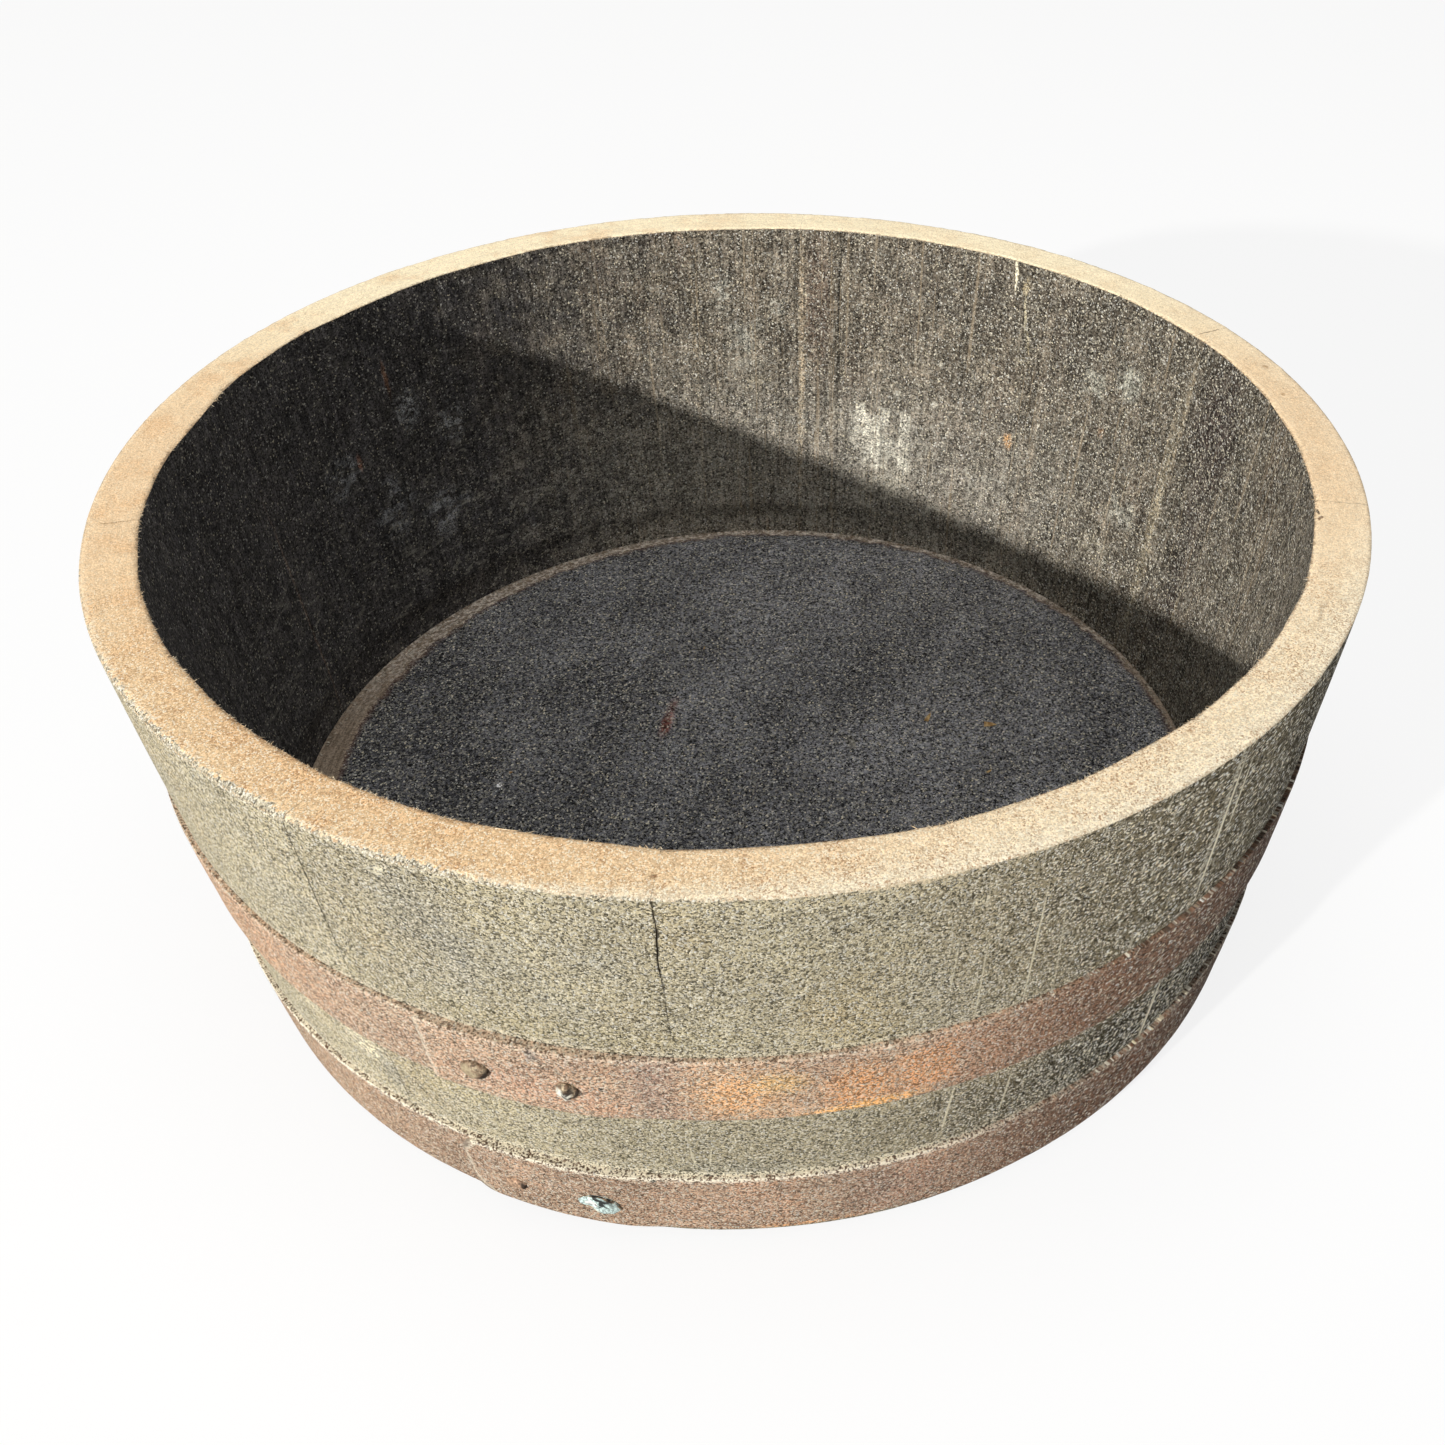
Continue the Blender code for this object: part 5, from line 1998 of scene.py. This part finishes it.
def place_matrix(right: Vector, up: Vector, back: Vector, place: tuple[float, float, float]) -> Matrix:
    """Matrix of an object from its three ways and its place.

    Args:
        right: Which way its X points.
        up: Which way its Y points.
        back: Which way its Z points.
        place: Where it is.

    Returns:
        The matrix.
    """
    matrix = Matrix((right, up, back)).transposed().to_4x4()
    matrix.translation = Vector(place)
    return matrix


@dataclass(frozen=True)
class Viewpoint:
    """The camera, as fitted to the outlines of the real tub."""

    place: tuple[float, float, float] = (0.0, -0.72259, 0.68097)
    pitch: float = 0.6234
    yaw: float = 0.0995
    roll: float = 0.0195
    lens: float = 39.62
    shift_x: float = -0.1068
    shift_y: float = -0.0847

    def add(self) -> None:
        """Adds the camera and makes it the scene's own."""
        level = math.cos(self.pitch)
        forward = Vector((math.sin(self.yaw) * level, math.cos(self.yaw) * level, -math.sin(self.pitch)))
        right = forward.cross(UP).normalized()
        up = right.cross(forward)
        cos, sin = math.cos(self.roll), math.sin(self.roll)
        data = bpy.data.cameras.new("camera")
        data.lens, data.sensor_width, data.sensor_fit = self.lens, 36.0, "HORIZONTAL"
        data.shift_x, data.shift_y, data.clip_start = self.shift_x, self.shift_y, 0.01
        camera = bpy.data.objects.new("camera", data)
        camera.matrix_world = place_matrix(right * cos + up * sin, up * cos - right * sin, -forward, self.place)
        bpy.context.scene.collection.objects.link(camera)
        bpy.context.scene.camera = camera


@dataclass(frozen=True)
class Softbox:
    """A round lamp, aimed at the tub."""

    name: str
    angle: float
    elevation: float
    distance: float
    size: float
    level: float
    tint: Colour = (1.0, 1.0, 1.0)
    target: tuple[float, float, float] = (0.0, 0.0, 0.12)

    def add(self) -> None:
        """Adds the lamp, with the power that gives its level at the tub."""
        data = bpy.data.lights.new(self.name, "AREA")
        data.shape, data.size, data.color = "DISK", self.size, self.tint
        data.energy = math.pi**2 * self.distance**2 * self.level
        lamp = bpy.data.objects.new(self.name, data)
        turn, rise = math.radians(self.angle), math.radians(self.elevation)
        away = Vector((math.sin(turn) * math.cos(rise), -math.cos(turn) * math.cos(rise), math.sin(rise)))
        lamp.location = Vector(self.target) + away * self.distance
        lamp.rotation_euler = away.to_track_quat("Z", "Y").to_euler()
        lamp.visible_camera = False
        bpy.context.scene.collection.objects.link(lamp)


@dataclass(frozen=True)
class Studio:
    """A pale floor, soft lamps and an even surround."""

    floor_radius: float = 20.0
    floor_drop: float = 0.0001
    floor_shown: float = 0.90
    floor_bounce: float = 0.36
    floor_lift: float = 0.84
    surround: float = 0.27
    lamps: tuple[Softbox, ...] = (
        Softbox("key", -45.1, 19.1, 10.0, 0.28, 1.25, (1.0, 0.975, 0.94)),
        Softbox("overhead", 10.0, 86.0, 3.0, 2.0, 0.39),
        Softbox("side", 72.0, 0.8, 2.0, 0.20, 0.22),
    )

    def add(self) -> None:
        """Adds the floor, the lamps and the surround, and sets the plain view transform."""
        self.add_floor()
        self.add_surround()
        for lamp in self.lamps:
            lamp.add()
        bpy.context.scene.view_settings.view_transform = "Standard"

    def add_floor(self) -> None:
        """Adds the round floor, which shows nearly white and keeps the tub's shadow."""
        bm = bmesh.new()
        bmesh.ops.create_circle(bm, cap_ends=True, segments=96, radius=self.floor_radius)
        mesh = bpy.data.meshes.new("floor")
        bm.to_mesh(mesh)
        bm.free()
        floor = bpy.data.objects.new("floor", mesh)
        floor.location.z = -self.floor_drop
        bpy.context.scene.collection.objects.link(floor)
        material = bpy.data.materials.new("pale_floor")
        material.use_nodes = True
        bench = Bench(material.node_tree)
        direct = bench.node("LightPath", {}, "Is Camera Ray")
        tones = {"Value": direct, "To Min": self.floor_bounce, "To Max": self.floor_shown}
        bench.finish(bench.node("MapRange", tones), 0.9, 0.0)
        plain = Value(bench, bench.tree.nodes["Principled BSDF"].outputs[0])
        shown = bench.node("MixShader", {0: direct * self.floor_lift, 1: plain, 2: bench.node("Emission", {})})
        bench.feed(bench.tree.nodes["Material Output"], {"Surface": shown})
        mesh.materials.append(material)

    def add_surround(self) -> None:
        """Adds the even surround, which shows white to the camera and in gloss."""
        world = bpy.data.worlds.new("surround")
        world.use_nodes = True
        bench = Bench(world.node_tree)
        shown = bench.node("LightPath", {}, "Is Camera Ray").highest(bench.node("LightPath", {}, "Is Glossy Ray"))
        strength = bench.node("MapRange", {"Value": shown, "To Min": self.surround, "To Max": 1.0})
        bench.feed(bench.tree.nodes["Background"], {"Color": (1.0, 1.0, 1.0), "Strength": strength})
        bpy.context.scene.world = world


# Marks on the wood; places on the staves count up from the joint at -34 degrees, so 305 is -55

DARK_WOOD = (52, 47, 38)
PALE_WOOD = (226, 218, 190)
ASH = (212, 208, 192)
SOOT = (70, 66, 61)

OUTSIDE_MARKS = wall_marks(
    (-25, 232, 34, 44, (118, 120, 118), .35, .8),
    (-22, 205, 18, 40, (130, 131, 126), .3, .8),
    (-23, 253, 10, 3.4, DARK_WOOD, .6, .6, .4, -14),
    (-26.3, 250, 8, 4, PALE_WOOD, .6, .6, .42, 30),
    (-24.2, 215, 1.6, 34, DARK_WOOD, .5, .6, .45, -3),
    (6.5, 178, 40, 50, (184, 162, 116), .25, .9),
    (-17, 168, 160, 16, (160, 148, 112), .3),
    (2, 252, 120, 10, (196, 184, 152), .35),
    (1, 243.5, 90, 16, (132, 126, 108), .3),
    (14.5, 213, 3.4, 60, (104, 98, 82), .55, .6, .42, -2),
    (18, 205, 5, 60, (112, 106, 88), .4, .6, 0, -2),
    (20.6, 195, 1, 80, PALE_WOOD, .85, .5, 0, 0, STRAIGHT),
    (23, 188, .9, 60, PALE_WOOD, .55, .5, 0, 4, STRAIGHT),
    (38.9, 206, 2, 90, (250, 242, 218), 1, .5, 0, 0, STRAIGHT),
    (40.2, 224, 1.4, 46, (250, 242, 218), .9, .5, 0, 0, STRAIGHT),
    (42, 200, 4, 100, DARK_WOOD, .4, .7),
    (14, 198, .8, 50, PALE_WOOD, .45, .5, 0, -2, STRAIGHT),
    (16.4, 178, .9, 60, PALE_WOOD, .6, .5, 0, 0, STRAIGHT),
    (25.8, 222, .8, 50, PALE_WOOD, .35, .5, 0, -2, STRAIGHT),
    (31, 205, .8, 60, PALE_WOOD, .3, .5, 0, -2, STRAIGHT),
    (24.2, 212, 1.2, 16, DARK_WOOD, .6, .5, 0, 0, STRAIGHT),
    (15.2, 238, 5, 3.4, PALE_WOOD, .9, .6, .35),
    (17.4, 244, 3.4, 3.4, PALE_WOOD, .85, .6, .35),
    (5.5, 225, 1.4, 8, DARK_WOOD, .6, .4, .35),
    (5, 228, 5, 3, PALE_WOOD, .7, .6, .38),
    (316, 102, 16, 20, PALE_WOOD, .45, .6, .44, 25),
    (323, 97, 20, 24, PALE_WOOD, .5, .6, .42, 30),
    (325.2, 82, 12, 30, (118, 118, 112), .5),
    (-34, 80, 1.6, 24, DARK_WOOD, .65, .5, .42),
    (-27, 94, 60, 16, (178, 166, 128), .35, .8),
    (-4, 62, 50, 14, (124, 124, 114), .4),
    (-6.5, 72, 1.2, 16, PALE_WOOD, .6, .5, 0, 6, STRAIGHT),
    (-5, 74, 1, 12, PALE_WOOD, .55, .5, 0, -6, STRAIGHT),
    (15.5, 86, 1.3, 36, PALE_WOOD, .85, .5, 0, -4, STRAIGHT),
    (14.6, 94, 1.6, 14, DARK_WOOD, .6, .5, 0, 0, STRAIGHT),
    (21.1, 84, 1.2, 34, PALE_WOOD, .7, .5, 0, -3, STRAIGHT),
    (17.5, 88, 5, 40, (108, 104, 90), .4),
    (38.4, 75, 2, 44, (250, 242, 218), .95, .5, 0, 0, STRAIGHT),
)

RIM_MARKS = wall_marks(
    (74.6, 25.6, 6, 1.8, (50, 34, 22), .9, .4),
    (73.4, 24.6, 5, 1.2, (96, 62, 38), .8, .4),
    (113.4, 13, .9, 20, (112, 82, 52), .8, .4),
    (104, 9, 5, 3, (170, 132, 92), .7),
    (98, 15, 4, 3, (176, 138, 98), .6),
    (58, 15, 14, 2.5, (170, 146, 116), .6, .6, .45),
    (23, 13, .9, 20, (196, 158, 112), .5, .4),
    (49, 13, .9, 22, (196, 158, 112), .6, .4),
    (-1.1, 8, 1.1, 12, (176, 140, 100), .55),
    (-7.2, 11.2, 4, 2.6, (110, 78, 50), .75, .6, .42),
    (-7, 1.5, 1.4, 6, (96, 70, 46), .75),
    (279.6, 15, 1, 18, (150, 114, 76), .65, .4, .4),
)

INSIDE_MARKS = wall_marks(
    (161, 118, 30, 24, ASH, .55, .25, .44, 0, SQUARE),
    (158.2, 104, 40, 22, ASH, .55, .25, .45, 0, SQUARE),
    (158.8, 132, 9, 10, ASH, .65, .3, .4, 0, SQUARE),
    (162.4, 134, 8, 9, ASH, .65, .3, .4, 0, SQUARE),
    (155.6, 126, 9, 18, ASH, .6, .3, .42, 0, SQUARE),
    (156.8, 148, 10, 6, ASH, .5, .6, .42),
    (151.5, 146, 6, 5, ASH, .55, .6, .42),
    (151, 176, 5, 4, ASH, .55, .6, .42),
    (158, 80, 34, 24, (190, 184, 166), .35, .6, .48, 0, SQUARE),
    (122, 208, 20, 20, (206, 206, 190), .6, .4, .46, 0, SQUARE),
    (127.5, 198, 18, 14, (206, 206, 190), .5, .4, .46, 0, SQUARE),
    (118.5, 125, 24, 18, (206, 204, 188), .55, .4, .46, 0, SQUARE),
    (122, 90, 30, 20, (180, 172, 150), .35, .6, .46),
    (179, 180, 24, 30, (176, 178, 168), .35, .6, .5, 0, SQUARE),
    (182, 215, 14, 24, (176, 178, 168), .4, .6, .5, 0, SQUARE),
    (174.5, 205, 10, 10, (176, 178, 168), .4, .6, .48, 0, SQUARE),
    (177, 150, 30, 10, (186, 176, 152), .4, .6, .48),
    (171, 190, 5, 130, (206, 186, 156), .65, .7, .46),
    (171.3, 110, 4, 110, (196, 178, 148), .45, .7, .47),
    (165.9, 200, 2.6, 110, (26, 24, 22), .8, .5, .42),
    (186, 170, 3, 160, (176, 160, 132), .4, .7, .48),
    (184.5, 170, 3, 160, (44, 41, 38), .45, .7, .45),
    (188.5, 160, 4, 180, (44, 41, 38), .45, .7, .46),
    (141.5, 249, 2.4, 22, (238, 228, 198), .95, .4, 0, -6),
    (139.9, 244, 5, 12, (226, 206, 164), .7, .6, .44, 10),
    (139.6, 228, 2, 30, (226, 214, 180), .8, .4, .4, -8),
    (138.6, 208, 1.8, 18, (214, 200, 164), .75, .4, 0, -14),
    (135.5, 170, 5, 150, (158, 146, 128), .4, .6, .46),
    (112, 215, 3, 60, (200, 184, 154), .75, .7, .42),
    (112.8, 130, 8, 140, (186, 172, 142), .6, .8, .44),
    (109, 150, 2.6, 180, (40, 37, 34), .6, .7, .44),
    (116.4, 160, 2, 120, (170, 156, 130), .5, .7, .46),
    (103.7, 93, 1.4, 28, (206, 188, 150), .85, .4),
    (139.5, 135, 7, 9, (206, 160, 108), .75, .6, .4),
    (125, 168, 6, 6, (196, 156, 120), .5, .6, .4),
    (230, 210, 3, 20, (150, 110, 84), .55),
    (237, 168, 3.6, 10, (150, 104, 82), .6),
    (228, 185, 18, 24, (170, 172, 172), .6, .6, .5),
    (222, 165, 20, 24, (170, 172, 172), .55, .6, .5),
    (234, 130, 34, 34, (160, 162, 164), .5, .6, .52),
    (240, 165, 30, 24, (160, 162, 164), .5, .6, .52),
    (226, 110, 40, 30, (160, 162, 164), .45, .6, .52),
    (106, 215, 44, 60, (78, 66, 64), .6),
    (107, 110, 20, 120, SOOT, .35),
    (104.5, 170, 34, 200, (66, 56, 54), .55, .5),
    (150, 225, 110, 40, SOOT, .4),
    (168.7, 205, 20, 90, (112, 88, 76), .35),
    (174, 180, 2.2, 26, (30, 27, 25), .7, .5),
    (131, 215, 40, 70, SOOT, .35),
    (254.1, 105, 1.8, 130, (146, 124, 108), .6, .6, .44),
)

HEAD_MARKS = flat_marks(
    (-53.5, 44, 6.5, 22, (124, 74, 62), .8, .5, 0, -15),
    (-50.5, 60, 5.5, 18, (112, 72, 62), .65, .6, 0, -15),
    (60, 20, 6, 10, (110, 104, 86), .5),
    # Painted shade over the head's front left, near the wall.
    (-110, -60, 160, 160, (66, 67, 70), .4, .8),
    (-151, -6, 3, 5, (255, 255, 252), 1, .3),
)

SEAMS = {
    0: Seam(dark_outside=0.75, lowest=0.190),
    1: Seam(dark_outside=0.15),
    2: Seam(dark_outside=0.85, rim=0.10),
    3: Seam(dark_outside=0.25),
    5: Seam(dark_outside=0.10, pale_outside=0.60),
    6: Seam(dark_outside=0.20),
    8: Seam(rim=0.40),
    12: Seam(pale_inside=0.15),
    14: Seam(pale_inside=0.10),
    16: Seam(dark_inside=0.12),
    17: Seam(dark_inside=0.35),
    18: Seam(pale_inside=0.10),
    21: Seam(dark_inside=0.15),
    27: Seam(dark_outside=0.30),
}


def main() -> None:
    """Builds the tub's parts in order and reports each."""
    logging.basicConfig(level=logging.INFO, format="%(message)s")
    Viewpoint().add()
    Studio().add()
    log.info("camera, floor and lamps are in place")
    staves = StaveWall(
        seams=SEAMS,
        outside=WeatheredOak(marks=OUTSIDE_MARKS),
        rim=SawnOak(marks=RIM_MARKS),
        inside=CharredOak(marks=INSIDE_MARKS),
    )
    head = Head(top=CharredHead(marks=HEAD_MARKS))
    for part in (staves, head, QUARTER_HOOP, HEAD_HOOP, TornEdge(staves), Litter(head)):
        part.add()


if __name__ == "__main__":
    main()
